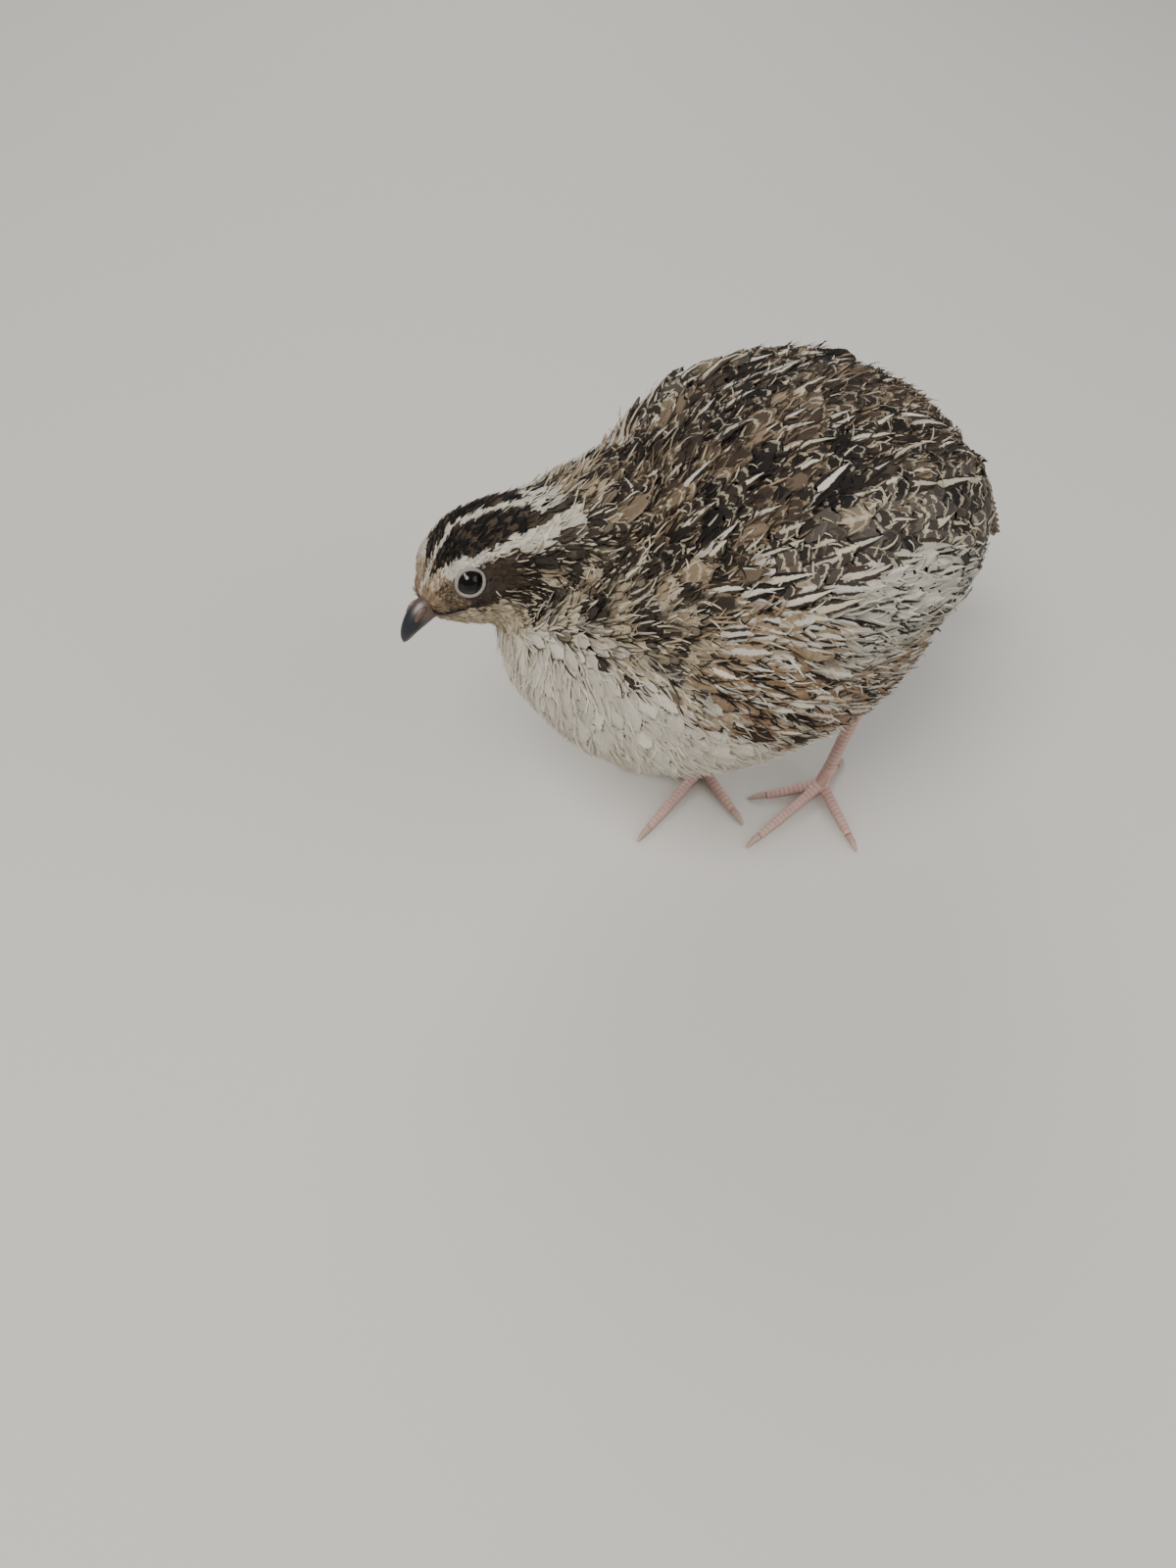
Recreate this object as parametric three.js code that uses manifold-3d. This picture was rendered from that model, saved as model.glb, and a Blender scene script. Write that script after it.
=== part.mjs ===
// A coturnix quail, life size, standing hunched with its head lowered.
// Millimetres, +Z up. The head points to -X, the left side to -Y, and the feet stand on Z = 0.
import * as THREE from "three";
import { mergeVertices } from "three/addons/utils/BufferGeometryUtils.js";
import Module from "manifold-3d";

const wasm = await Module();
wasm.setup();

// Driving dimensions
const GAP = 0.3; // left between pieces that touch
const WELD = 1e-3; // points closer than this become one
const FAR = 200; // further than any part of the bird
const LEFT = -1;
const RIGHT = 1;
const HEAD_CENTRE = new THREE.Vector3(-60.5, 18, 79); // of the skull, just behind the eyes
const HEAD_PITCH = 22; // degrees that the bill points below the horizon
const HEAD_ROLL = 14; // degrees that the left side is tilted up
const HEAD_YAW = 9; // degrees that the bill is turned to the left of the body
const EYE_RADIUS = 3.7;
const EYE_PLACE = { forward: 0.5, side: 6.7, up: 1.2 }; // an eyeball's centre, from the head's
const EYE_LOOKS_UP = 14; // degrees
const EYE_LOOKS_AHEAD = 12; // degrees
const EYE_APERTURE = 2.4; // radius of the opening between the lids
const LID_THICKNESS = 0.48;
const BILL_BASE = 10.4; // how far the bill's root is in front of the head's centre
const BILL_LENGTH = 7.8;
const BILL_UPPER = { half: 3.1, high: 3.6, reach: 1 };
const BILL_LOWER = { half: 2.6, high: 2.05, reach: 0.86 };
const MOUTH_HEIGHT = -3; // of the mouth at the bill's root, from the head's centre
const MOUTH_DROP = 1.9; // how much lower it is at the tip
const NOSTRIL = new THREE.Vector3(13.3, 2.0, -1.0); // forward, to the side and up
const NECK_RINGS = 18;
const TORSO_RINGS = 28;
const BODY_SIDES = 28;
const BODY_SQUARENESS = 2.15; // exponent of the cross-section's superellipse
const HEAD_CUT_X = -49;
const NECK_CUT = { point: new THREE.Vector3(-37, 8, 81), lean: -27 };
const TAIL_CUT_X = 57;
const WING_X = [-22, 61];
const WING_LENGTH = 84; // millimetres along a wing's pad, for shaping vanes
const WING_DEPTH = 44; // and from its lower edge to its upper
const TAIL_TIP = new THREE.Vector3(87, 6.5, 53.5);
const TAIL_HALF = 10.5; // half the fan's width at its root
const TOE_RADIUS = 1.4;
const CLAW_LENGTH = 4.6;
const SHANK_RADIUS = 1.75;
const SHANK_SWELL = [1.2, 1.0, 0.92, 0.92, 1.15];
const THIGH_RADII = [12, 11, 8.5, 5.6, 3.2, 2.4];

const FLESH = 0xd9a59a;
const HORN = 0x35323a;
const CLAW_HORN = 0xcfae9c;
const BUFF = 0xb59a78;
const CREAM = 0xe4ddcc;

const radians = THREE.MathUtils.degToRad;
const vec = (x, y, z) => new THREE.Vector3(x, y, z);

// Forward, left and up of a piece that faces -X, then leans forward, rolls its left side up and turns left.
function axesOf(lean, roll, yaw) {
  const [p, r] = [radians(lean), radians(roll)];
  const left0 = vec(0, -1, 0);
  const up0 = vec(-Math.sin(p), 0, Math.cos(p));
  const left = left0.clone().multiplyScalar(Math.cos(r)).addScaledVector(up0, Math.sin(r));
  const up = up0.clone().multiplyScalar(Math.cos(r)).addScaledVector(left0, -Math.sin(r));
  const forward = vec(-Math.cos(p), 0, -Math.sin(p));
  for (const axis of [forward, left, up]) axis.applyAxisAngle(vec(0, 0, 1), radians(yaw));
  return { forward, left, up };
}

const HEAD_AXES = axesOf(HEAD_PITCH, HEAD_ROLL, HEAD_YAW);

// A point of the head, from how far it is forward, to the left and up from the head's centre.
function headPoint(forward, left, up) {
  return HEAD_CENTRE.clone()
    .addScaledVector(HEAD_AXES.forward, forward)
    .addScaledVector(HEAD_AXES.left, left)
    .addScaledVector(HEAD_AXES.up, up);
}

// The head's own frame as a matrix: X forward, Y left, Z up.
function headPlace(forward, left, up) {
  return new THREE.Matrix4()
    .makeBasis(HEAD_AXES.forward, HEAD_AXES.left, HEAD_AXES.up)
    .setPosition(headPoint(forward, left, up));
}

// One cross-section of the body: its centre, how it leans, rolls and turns in degrees,
// its half width, and its height above and below the centre.
function station(centre, turned, halfWidth, above, below) {
  const [lean, roll, yaw] = turned;
  return { centre, lean, roll, yaw, halfWidth, above, below };
}

const HEAD_TURN = [HEAD_PITCH, HEAD_ROLL, HEAD_YAW];
const NECK = [
  station(headPoint(11.2, 0, -1.4), HEAD_TURN, 3.4, 3.2, 3.2),
  station(headPoint(9.2, 0, -1.0), HEAD_TURN, 5.4, 3.6, 5.8),
  station(headPoint(5.9, 0, -0.4), HEAD_TURN, 8.2, 5.2, 10.4),
  station(headPoint(1.5, 0, 0), HEAD_TURN, 10.1, 7.8, 16.0),
  station(headPoint(-4, 0, 0), [25, 12, 3], 11.4, 10.4, 18.0),
  station(vec(-49, 15.5, 81), [18, 8, 2], 12.8, 13.6, 16.0),
  station(vec(-40, 12, 81), [6, 4, 0], 17.0, 15.0, 16.5),
  station(vec(-29, 7, 80), [0, 0, 0], 24.0, 19.0, 19.0),
  station(vec(-16, 3, 79), [-4, 0, 0], 28.0, 22.0, 20.0),
];
const TORSO = [
  station(vec(-56, 5, 59.5), [0, 0, 0], 6.3, 4.4, 5.4),
  station(vec(-53, 3.5, 61), [0, 0, 0], 14.7, 12.3, 12.5),
  station(vec(-46, 1, 62.5), [0, 0, 0], 24.5, 20.7, 22.7),
  station(vec(-34, -2.5, 65), [0, 0, 0], 32.5, 28.5, 31.3),
  station(vec(-19, -3, 68.5), [0, 0, 0], 39.3, 35.5, 36.1),
  station(vec(-3, -2.5, 71), [0, 0, 0], 41.7, 39.0, 37.3),
  station(vec(12, -1.5, 72), [-3, 0, 0], 41.0, 38.7, 36.0),
  station(vec(27, 0.5, 72), [-8, 0, 0], 36.5, 35.5, 31.5),
  station(vec(40, 3, 70), [-13, 0, 0], 29.2, 28.8, 25.0),
  station(vec(51, 5.5, 67), [-18, 0, 0], 20.6, 20.8, 17.5),
  station(vec(59.5, 7.5, 64), [-22, 0, 0], 12.0, 12.3, 10.0),
  station(vec(65, 8.5, 61), [-25, 0, 0], 4.0, 4.8, 4.2),
];

// Catmull-Rom value between b and c.
function smooth(a, b, c, d, t) {
  return (
    b + 0.5 * t * (c - a + t * (2 * a - 5 * b + 4 * c - d + t * (3 * (b - c) + d - a)))
  );
}

// The cross-section at s, counted in stations from the front.
function sectionAt(stations, s) {
  const last = stations.length - 1;
  const i = Math.min(Math.floor(s), last - 1);
  const near = [i - 1, i, i + 1, i + 2].map((k) => stations[Math.max(0, Math.min(last, k))]);
  const mix = (value) => smooth(...near.map(value), s - i);
  return station(
    vec(mix((n) => n.centre.x), mix((n) => n.centre.y), mix((n) => n.centre.z)),
    [mix((n) => n.lean), mix((n) => n.roll), mix((n) => n.yaw)],
    mix((n) => n.halfWidth),
    mix((n) => n.above),
    mix((n) => n.below),
  );
}

// A point on the body's skin. turn is in degrees: 0 is the right side, 90 the top and 180 the left.
function skinPoint(stations, s, turn) {
  const at = sectionAt(stations, s);
  const a = radians(turn);
  const power = 2 / BODY_SQUARENESS;
  const side = Math.sign(Math.cos(a)) * Math.abs(Math.cos(a)) ** power * at.halfWidth;
  const reach = Math.sin(a) >= 0 ? at.above : at.below;
  const rise = Math.sign(Math.sin(a)) * Math.abs(Math.sin(a)) ** power * reach;
  const { left, up } = axesOf(at.lean, at.roll, at.yaw);
  return at.centre.addScaledVector(left, -side).addScaledVector(up, rise);
}

function skinNormal(stations, s, turn) {
  const e = 0.02;
  const along = skinPoint(stations, s + e, turn).sub(skinPoint(stations, s - e, turn));
  const round = skinPoint(stations, s, turn + 1).sub(skinPoint(stations, s, turn - 1));
  return along.cross(round).negate().normalize();
}

// A point that stands off the skin by lift.
function offSkin(stations, s, turn, lift) {
  return skinPoint(stations, s, turn).addScaledVector(skinNormal(stations, s, turn), lift);
}

// The place where the centre line has this x.
function placeAtX(stations, x) {
  let low = 0;
  let high = stations.length - 1;
  while (high - low > 1e-4) {
    const middle = (low + high) / 2;
    if (sectionAt(stations, middle).centre.x < x) low = middle;
    else high = middle;
  }
  return low;
}

// A geometry from points and triangles.
function meshOf(points, triangles) {
  const g = new THREE.BufferGeometry();
  g.setAttribute("position", new THREE.Float32BufferAttribute(points.flatMap((p) => [p.x, p.y, p.z]), 3));
  g.setIndex(triangles.flat());
  return g;
}

// A closed skin over rings of points, each ring with the same count.
function loft(rings) {
  const n = rings[0].length;
  const points = rings.flat();
  const triangles = [];
  for (let i = 0; i < rings.length - 1; i++)
    for (let j = 0; j < n; j++) {
      const a = i * n + j;
      const b = i * n + ((j + 1) % n);
      triangles.push([a, b, b + n], [a, b + n, a + n]);
    }
  for (const [ring, flip] of [[0, false], [rings.length - 1, true]]) {
    const middle = rings[ring].reduce((sum, p) => sum.add(p), vec(0, 0, 0)).divideScalar(n);
    const hub = points.push(middle) - 1;
    for (let j = 0; j < n; j++) {
      const a = ring * n + j;
      const b = ring * n + ((j + 1) % n);
      triangles.push(flip ? [a, b, hub] : [b, a, hub]);
    }
  }
  return meshOf(points, triangles);
}

// A closed plate between two grids of points that are split into triangles alike.
function plate(top, bottom) {
  const rows = top.length;
  const columns = top[0].length;
  const count = rows * columns;
  const points = [...top.flat(), ...bottom.flat()];
  const triangles = [];
  const at = (i, j) => i * columns + j;
  for (let i = 0; i < rows - 1; i++)
    for (let j = 0; j < columns - 1; j++) {
      const [a, b, c, d] = [at(i, j), at(i + 1, j), at(i + 1, j + 1), at(i, j + 1)];
      triangles.push([a, b, c], [a, c, d], [c + count, b + count, a + count], [d + count, c + count, a + count]);
    }
  const wall = (a, b) => triangles.push([b, a, a + count], [b, a + count, b + count]);
  for (let i = 0; i < rows - 1; i++) {
    wall(at(i, 0), at(i + 1, 0));
    wall(at(i + 1, columns - 1), at(i, columns - 1));
  }
  for (let j = 0; j < columns - 1; j++) {
    wall(at(rows - 1, j), at(rows - 1, j + 1));
    wall(at(0, j + 1), at(0, j));
  }
  return meshOf(points, triangles);
}

// A solid for joining and cutting, turned right way out.
function solid(geometry, place = new THREE.Matrix4()) {
  const g = geometry.clone().applyMatrix4(place);
  g.deleteAttribute("normal");
  g.deleteAttribute("uv");
  const merged = mergeVertices(g, WELD);
  const triVerts = new Uint32Array(merged.index.array);
  const vertProperties = new Float32Array(merged.attributes.position.array);
  const made = new wasm.Manifold(new wasm.Mesh({ numProp: 3, vertProperties, triVerts }));
  if (made.volume() > 0) return made;
  triVerts.reverse();
  return new wasm.Manifold(new wasm.Mesh({ numProp: 3, vertProperties, triVerts }));
}

function join(pieces) {
  return pieces.reduce((whole, piece) => whole.add(piece));
}

function largest(manifold) {
  return manifold.decompose().reduce((best, piece) => (piece.volume() > best.volume() ? piece : best));
}

function geometryOf(manifold) {
  const m = manifold.getMesh();
  const g = new THREE.BufferGeometry();
  g.setAttribute("position", new THREE.BufferAttribute(new Float32Array(m.vertProperties), 3));
  g.setIndex(new THREE.BufferAttribute(new Uint32Array(m.triVerts), 1));
  return g;
}

// Welds points that lie closer than the weld, and keeps the largest closed surface.
function welded(manifold) {
  return largest(solid(geometryOf(manifold)));
}

function box(low, high) {
  const size = high.clone().sub(low);
  const middle = low.clone().add(high).multiplyScalar(0.5);
  return solid(
    new THREE.BoxGeometry(size.x, size.y, size.z),
    new THREE.Matrix4().makeTranslation(middle.x, middle.y, middle.z),
  );
}

// A round rod through points, with a radius at each.
function rod(path, radii, sides) {
  const curve = new THREE.CatmullRomCurve3(path);
  const steps = radii.length - 1;
  const frames = curve.computeFrenetFrames(steps);
  return loft(
    radii.map((radius, i) =>
      Array.from({ length: sides }, (_, j) => {
        const a = (2 * Math.PI * j) / sides;
        return curve
          .getPointAt(i / steps)
          .addScaledVector(frames.normals[i], radius * Math.cos(a))
          .addScaledVector(frames.binormals[i], radius * Math.sin(a));
      }),
    ),
  );
}

// Body: two skins, one over the head and neck and one over the torso, swollen by grow
function skin(stations, rings, grow) {
  const last = stations.length - 1;
  return solid(
    loft(
      Array.from({ length: rings + 1 }, (_, i) => {
        const s = (last * i) / rings;
        const inside = Math.min(Math.max(s, 0.02), last - 0.02);
        return Array.from({ length: BODY_SIDES }, (_, j) => {
          const turn = (360 * j) / BODY_SIDES;
          return grow ? offSkin(stations, inside, turn, grow) : skinPoint(stations, s, turn);
        });
      }),
    ),
  );
}

// All that lies behind a plane that leans by so many degrees; a thin slice when length is 0.
function slabAt(point, lean, yaw, length = 0) {
  const place = new THREE.Matrix4()
    .makeTranslation(point.x, point.y, point.z)
    .multiply(new THREE.Matrix4().makeRotationZ(radians(yaw)))
    .multiply(new THREE.Matrix4().makeRotationY(-radians(lean)));
  const slab = new THREE.BoxGeometry(GAP + length, FAR, FAR);
  slab.translate(length / 2, 0, 0);
  return solid(slab, place);
}

const neckSkin = skin(NECK, NECK_RINGS, 0);
const torsoSkin = skin(TORSO, TORSO_RINGS, 0);
const torsoWithGap = skin(TORSO, TORSO_RINGS, GAP);
const bodyWithGap = join([torsoWithGap, skin(NECK, NECK_RINGS, GAP)]);
const headCut = (length) => {
  const at = sectionAt(NECK, placeAtX(NECK, HEAD_CUT_X));
  return slabAt(at.centre, at.lean, at.yaw, length);
};
const neckCut = (length) => slabAt(NECK_CUT.point, NECK_CUT.lean, 0, length);
const tailCut = (length) => {
  const at = sectionAt(TORSO, placeAtX(TORSO, TAIL_CUT_X));
  return slabAt(at.centre, at.lean, at.yaw, length);
};
const behindHead = headCut(FAR).subtract(headCut(0));
const behindNeck = neckCut(FAR);
const behindTorso = tailCut(FAR);

// Eyes: balls sunk in sockets, each with a ring of lid round its opening
function eyeCentre(side) {
  return headPoint(EYE_PLACE.forward, -side * EYE_PLACE.side, EYE_PLACE.up);
}

function ball(centre, radius, detail = 14) {
  return solid(
    new THREE.SphereGeometry(radius, detail, Math.round(detail * 0.7)),
    new THREE.Matrix4().makeTranslation(centre.x, centre.y, centre.z),
  );
}

function lidRing(side) {
  const depth = Math.sqrt((EYE_RADIUS + GAP) ** 2 - EYE_APERTURE ** 2);
  const place = headPlace(EYE_PLACE.forward, -side * EYE_PLACE.side, EYE_PLACE.up)
    .multiply(new THREE.Matrix4().makeRotationX(-side * radians(EYE_LOOKS_UP)))
    .multiply(new THREE.Matrix4().makeRotationZ(side * radians(EYE_LOOKS_AHEAD)))
    .multiply(new THREE.Matrix4().makeTranslation(0, -side * (depth - 0.25), 0))
    .multiply(new THREE.Matrix4().makeRotationX(Math.PI / 2));
  return solid(new THREE.TorusGeometry(EYE_APERTURE + LID_THICKNESS * 0.8, LID_THICKNESS, 6, 16), place);
}

// Bill: two tapered rods, parted by the line of the mouth
function mouthHeight(forward) {
  const t = Math.max(0, (forward - BILL_BASE) / BILL_LENGTH);
  return MOUTH_HEIGHT - MOUTH_DROP * t * t - 0.12 * Math.max(0, BILL_BASE - forward);
}

// One half as a rod; up is 1 for the upper half and -1 for the lower.
function billHalf({ half, high, reach }, up) {
  const steps = 6;
  const sides = 12;
  const rings = Array.from({ length: steps + 1 }, (_, i) => {
    const t = i / steps;
    const forward = BILL_BASE + BILL_LENGTH * reach * t;
    const taper = Math.sqrt(1 - t ** 1.7) * 0.97 + 0.03;
    return Array.from({ length: sides }, (_, j) => {
      const a = (2 * Math.PI * j) / sides;
      const proud = Math.max(0, up * Math.sin(a));
      const within = Math.sin(a) - up * proud;
      const side = half * taper * Math.cos(a) * (1 - 0.25 * proud);
      return headPoint(forward, side, mouthHeight(forward) + up * proud * high * taper + within * 0.2);
    });
  });
  return solid(loft(rings));
}

// The mouth is a thin curved slice through the bill and the front of the face.
function mouthSlice() {
  const rows = 9;
  const grid = (lift) =>
    Array.from({ length: rows }, (_, i) => {
      const forward = 5 + (20 * i) / (rows - 1);
      return [-9, 9].map((left) => headPoint(forward, left, mouthHeight(forward) + lift));
    });
  return solid(plate(grid(GAP / 2), grid(-GAP / 2)));
}

function nostril(side) {
  const pit = new THREE.SphereGeometry(1, 8, 6).scale(1.3, 0.8, 0.4);
  return solid(pit, headPlace(NOSTRIL.x, -side * NOSTRIL.y, NOSTRIL.z));
}

// All of the head's frame behind a place along it.
function behindFace(forward) {
  return solid(new THREE.BoxGeometry(FAR, FAR, FAR), headPlace(forward - FAR / 2, 0, 0));
}

const mouth = mouthSlice();
const sockets = join([LEFT, RIGHT].map((side) => ball(eyeCentre(side), EYE_RADIUS + GAP)));
const lids = join([LEFT, RIGHT].map(lidRing));
const faceSkin = neckSkin.subtract(headCut(FAR)).subtract(torsoWithGap).intersect(behindFace(BILL_BASE - 0.2));
const head = largest(faceSkin.add(lids).subtract(sockets).subtract(mouth));
const billRoot = behindFace(BILL_BASE - 0.2 + GAP);
const nostrils = join([LEFT, RIGHT].map(nostril));
const billUpper = largest(billHalf(BILL_UPPER, 1).subtract(billRoot).subtract(mouth).subtract(nostrils));
const billLower = largest(billHalf(BILL_LOWER, -1).subtract(billRoot).subtract(mouth));

const trunk = join([neckSkin.intersect(behindHead), torsoSkin]);
const neck = largest(trunk.subtract(behindNeck));
const torso = largest(trunk.intersect(behindNeck).subtract(neckCut(0)).subtract(behindTorso));

// Wings: a folded pad that lies on the torso, with tiers of vanes that overlap towards the rear
const WING_END = 0.97; // the share of the length where the pad ends
const ONE_VANE = { rows: [0, 0.4, 0.78, 1], halves: [0.6, 1, 0.9, 0.4], lifts: [-0.3, 0.35, 0.85, 1.15] };

// The pad in shares: along from the wrist to the rear, up from the lower edge to the upper.
function wingHeight(along, up) {
  const round = Math.sqrt(Math.max(0, 1 - (2 * along - 1) ** 4));
  const half = 4 + 24 * round * (1 - 0.15 * along);
  return 42 - 12 * along + (2 * up - 1) * half;
}

function padThickness(along, up) {
  const inside = Math.min(Math.max(up, 0), 1);
  const across = Math.sqrt(4 * inside * (1 - inside));
  return 1.2 + 1.8 * across * Math.min(1, 5 * along + 0.1, Math.max(0, 2.5 * (1 - along)) + 0.2);
}

// A point of the wing, off the torso's skin by lift; past the pad's rear it runs straight on.
function wingPoint(side, along, up, lift) {
  const inside = Math.min(along, WING_END);
  const height = wingHeight(inside, up);
  const turn = side === RIGHT ? height : 180 - height;
  const place = placeAtX(TORSO, WING_X[0] + (WING_X[1] - WING_X[0]) * inside);
  const past = (along - inside) * WING_LENGTH;
  return offSkin(TORSO, place, turn, lift).add(vec(past, 0, -past / 2));
}

function wingPad(side) {
  const rows = 9;
  const columns = 6;
  const grid = (liftAt) =>
    Array.from({ length: rows + 1 }, (_, i) =>
      Array.from({ length: columns + 1 }, (_, j) => {
        const [along, up] = [(WING_END * i) / rows, j / columns];
        return wingPoint(side, along, up, liftAt(along, up));
      }),
    );
  return solid(plate(grid(padThickness), grid(() => -1)));
}

// One vane from root to tip; both are [along, up].
function wingVane(side, root, tip, half) {
  const run = [(tip[0] - root[0]) * WING_LENGTH, (tip[1] - root[1]) * WING_DEPTH];
  const length = Math.hypot(...run);
  const across = [-run[1] / length / WING_LENGTH, run[0] / length / WING_DEPTH];
  const grid = (sink) =>
    ONE_VANE.rows.map((t, i) =>
      [-1, 0, 1].map((column) => {
        const last = i === ONE_VANE.rows.length - 1;
        const share = t + (last && column === 0 ? (0.5 * half) / length : 0);
        const along = root[0] + (tip[0] - root[0]) * share + across[0] * half * ONE_VANE.halves[i] * column;
        const up = root[1] + (tip[1] - root[1]) * share + across[1] * half * ONE_VANE.halves[i] * column;
        const crown = column === 0 ? 0.35 : 0.2 * column;
        const base = padThickness(Math.min(along, WING_END), up);
        return wingPoint(side, along, up, base + ONE_VANE.lifts[i] + crown - sink);
      }),
    );
  return solid(plate(grid(0), grid(0.9)));
}

// Tiers from the rear forwards: how many vanes, the first and last root and tip, and the half width.
const WING_TIERS = [
  { count: 3, roots: [[0.64, 0.12], [0.68, 0.4]], tips: [[1.01, 0.24], [1.04, 0.5]], half: 4.4 },
  { count: 5, roots: [[0.44, 0.06], [0.58, 0.88]], tips: [[0.8, 0.06], [0.93, 0.84]], half: 5.6 },
  { count: 5, roots: [[0.27, 0.1], [0.36, 0.86]], tips: [[0.56, 0.07], [0.68, 0.9]], half: 5.4 },
  { count: 4, roots: [[0.15, 0.18], [0.2, 0.8]], tips: [[0.39, 0.14], [0.46, 0.86]], half: 5.4 },
  { count: 3, roots: [[0.04, 0.3], [0.07, 0.7]], tips: [[0.25, 0.25], [0.29, 0.76]], half: 5.2 },
];

const between = (a, b, share) => a.map((value, k) => value + (b[k] - value) * share);

function wing(side) {
  const vanes = WING_TIERS.flatMap(({ count, roots, tips, half }) =>
    Array.from({ length: count }, (_, k) => {
      const share = k / (count - 1);
      return wingVane(side, between(...roots, share), between(...tips, share), half);
    }),
  );
  return largest(join([wingPad(side), ...vanes]).subtract(bodyWithGap));
}
const wings = { [LEFT]: wing(LEFT), [RIGHT]: wing(RIGHT) };

// Tail: the stump and a short fan of feathers that droops behind it
const TAIL_ROOT = sectionAt(TORSO, placeAtX(TORSO, TAIL_CUT_X - 6)).centre;

// A point of the tail: t from root to tip, b across it, with the fan's half width.
function tailPoint(t, b, half, lift) {
  const centre = TAIL_ROOT.clone().lerp(TAIL_TIP, t);
  return vec(centre.x, centre.y + b * half, centre.z + 7 * Math.sin(Math.PI * t) * 0.6 + lift - 4.5 * b * b);
}

function tailBase() {
  const rows = 5;
  const columns = 4;
  const grid = (lift) =>
    Array.from({ length: rows + 1 }, (_, i) =>
      Array.from({ length: columns + 1 }, (_, j) => tailPoint((0.88 * i) / rows, (2 * j) / columns - 1, TAIL_HALF - (4 * i) / rows, lift)),
    );
  return solid(plate(grid(1), grid(-1.2)));
}

// One tail vane: b is where it lies across the fan, from its root's share of the length to its tip's.
function tailVane(b, from, to, half, lift) {
  const grid = (sink) =>
    ONE_VANE.rows.map((t, i) =>
      [-1, 0, 1].map((column) => {
        const share = from + (to - from) * t + (i === ONE_VANE.rows.length - 1 && column === 0 ? 0.07 : 0);
        const side = b * (TAIL_HALF - 4.5 * share) + column * half * ONE_VANE.halves[i];
        const crown = column === 0 ? 0.35 : 0;
        return tailPoint(share, side / 10, 10, 1 + lift + ONE_VANE.lifts[i] + crown - sink);
      }),
    );
  return solid(plate(grid(0), grid(0.9)));
}

const spread = (count, make) => Array.from({ length: count }, (_, k) => make((2 * k) / (count - 1) - 1));
const tailFeathers = join([
  tailBase(),
  ...spread(6, (b) => tailVane(b, 0.3, 0.97 - 0.13 * b * b, 3.0, 0.25 * (1 - Math.abs(b)))),
  ...spread(4, (b) => tailVane(b * 0.9, 0.12, 0.6 - 0.08 * b * b, 3.4, 0.7)),
]);
const stump = torsoSkin.intersect(behindTorso).subtract(tailCut(0));
const tail = largest(join([stump, tailFeathers.intersect(behindTorso).subtract(tailCut(0))]));

// Legs: a feathered thigh under the belly, a bare shank, and four toes with claws
const LEGS = [
  {
    side: LEFT,
    name: "left",
    hip: vec(10, -16, 48),
    hock: vec(31, -17, 27),
    ankle: vec(24, -18.5, 5),
    toes: [
      { name: "inner", heading: 163, length: 9.5 },
      { name: "middle", heading: -166, length: 19 },
      { name: "outer", heading: -102, length: 11 },
      { name: "hind", heading: 25, length: 5 },
    ],
  },
  {
    side: RIGHT,
    name: "right",
    hip: vec(4, 14, 48),
    hock: vec(8, 10, 27),
    ankle: vec(-1, 1, 5),
    toes: [
      { name: "inner", heading: -91, length: 9.5 },
      { name: "middle", heading: -156, length: 19 },
      { name: "outer", heading: 146, length: 12 },
      { name: "hind", heading: 52, length: 5 },
    ],
  },
];
const FLOOR = box(vec(-FAR, -FAR, -FAR), vec(FAR, FAR, 0));
const KNUCKLE = { front: 5.8, hind: 3.8 }; // from the ankle to where a toe parts from the foot
const TOE_HEIGHTS = [2.3, 1.75, 1.35, 0.95]; // of its middle line, from the ankle to the claw
const TOE_SWELL = [1.25, 1.1, 0.95, 1.02, 0.88, 0.95, 0.82, 0.74];
const CLAW_HEIGHTS = [0.95, 1.1, 0.85, 0.28];
const CLAW_RADII = [0.95, 0.85, 0.62, 0.28];

function toeShare(toe) {
  return toe.name === "hind" ? { knuckle: KNUCKLE.hind, size: 0.85 } : { knuckle: KNUCKLE.front, size: 1 };
}

// A line over the floor from the ankle, in the toe's direction.
function toeLine(leg, toe, from, to, heights) {
  const a = radians(toe.heading);
  const ahead = vec(Math.cos(a), Math.sin(a), 0);
  return heights.map((z, i) =>
    leg.ankle.clone().addScaledVector(ahead, from + ((to - from) * i) / (heights.length - 1)).setZ(z),
  );
}

// The toe from the ankle to its end, above the floor.
function toeWhole(leg, toe) {
  const { knuckle, size } = toeShare(toe);
  const line = toeLine(leg, toe, 0, knuckle + toe.length, TOE_HEIGHTS);
  return solid(rod(line, TOE_SWELL.map((r) => r * TOE_RADIUS * size), 8)).subtract(FLOOR);
}

// All that lies further out along the toe than reach.
function beyond(leg, toe, reach) {
  const place = new THREE.Matrix4()
    .makeTranslation(leg.ankle.x, leg.ankle.y, 0)
    .multiply(new THREE.Matrix4().makeRotationZ(radians(toe.heading)));
  return solid(new THREE.BoxGeometry(FAR, 40, 40).translate(reach + FAR / 2, 0, 0), place);
}

function toeSolid(leg, toe) {
  return largest(toeWhole(leg, toe).intersect(beyond(leg, toe, toeShare(toe).knuckle + GAP)));
}

function clawSolid(leg, toe) {
  const { knuckle, size } = toeShare(toe);
  const start = knuckle + toe.length + GAP;
  const line = toeLine(leg, toe, start, start + CLAW_LENGTH * size, CLAW_HEIGHTS);
  return solid(rod(line, CLAW_RADII, 8)).subtract(FLOOR);
}

function shankRod(leg, grow) {
  const foot = leg.ankle.clone().setZ(2.6);
  const path = [leg.hock, leg.hock.clone().lerp(foot, 0.5), foot];
  return solid(rod(path, SHANK_SWELL.map((r) => r * SHANK_RADIUS + grow), 10));
}

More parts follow.
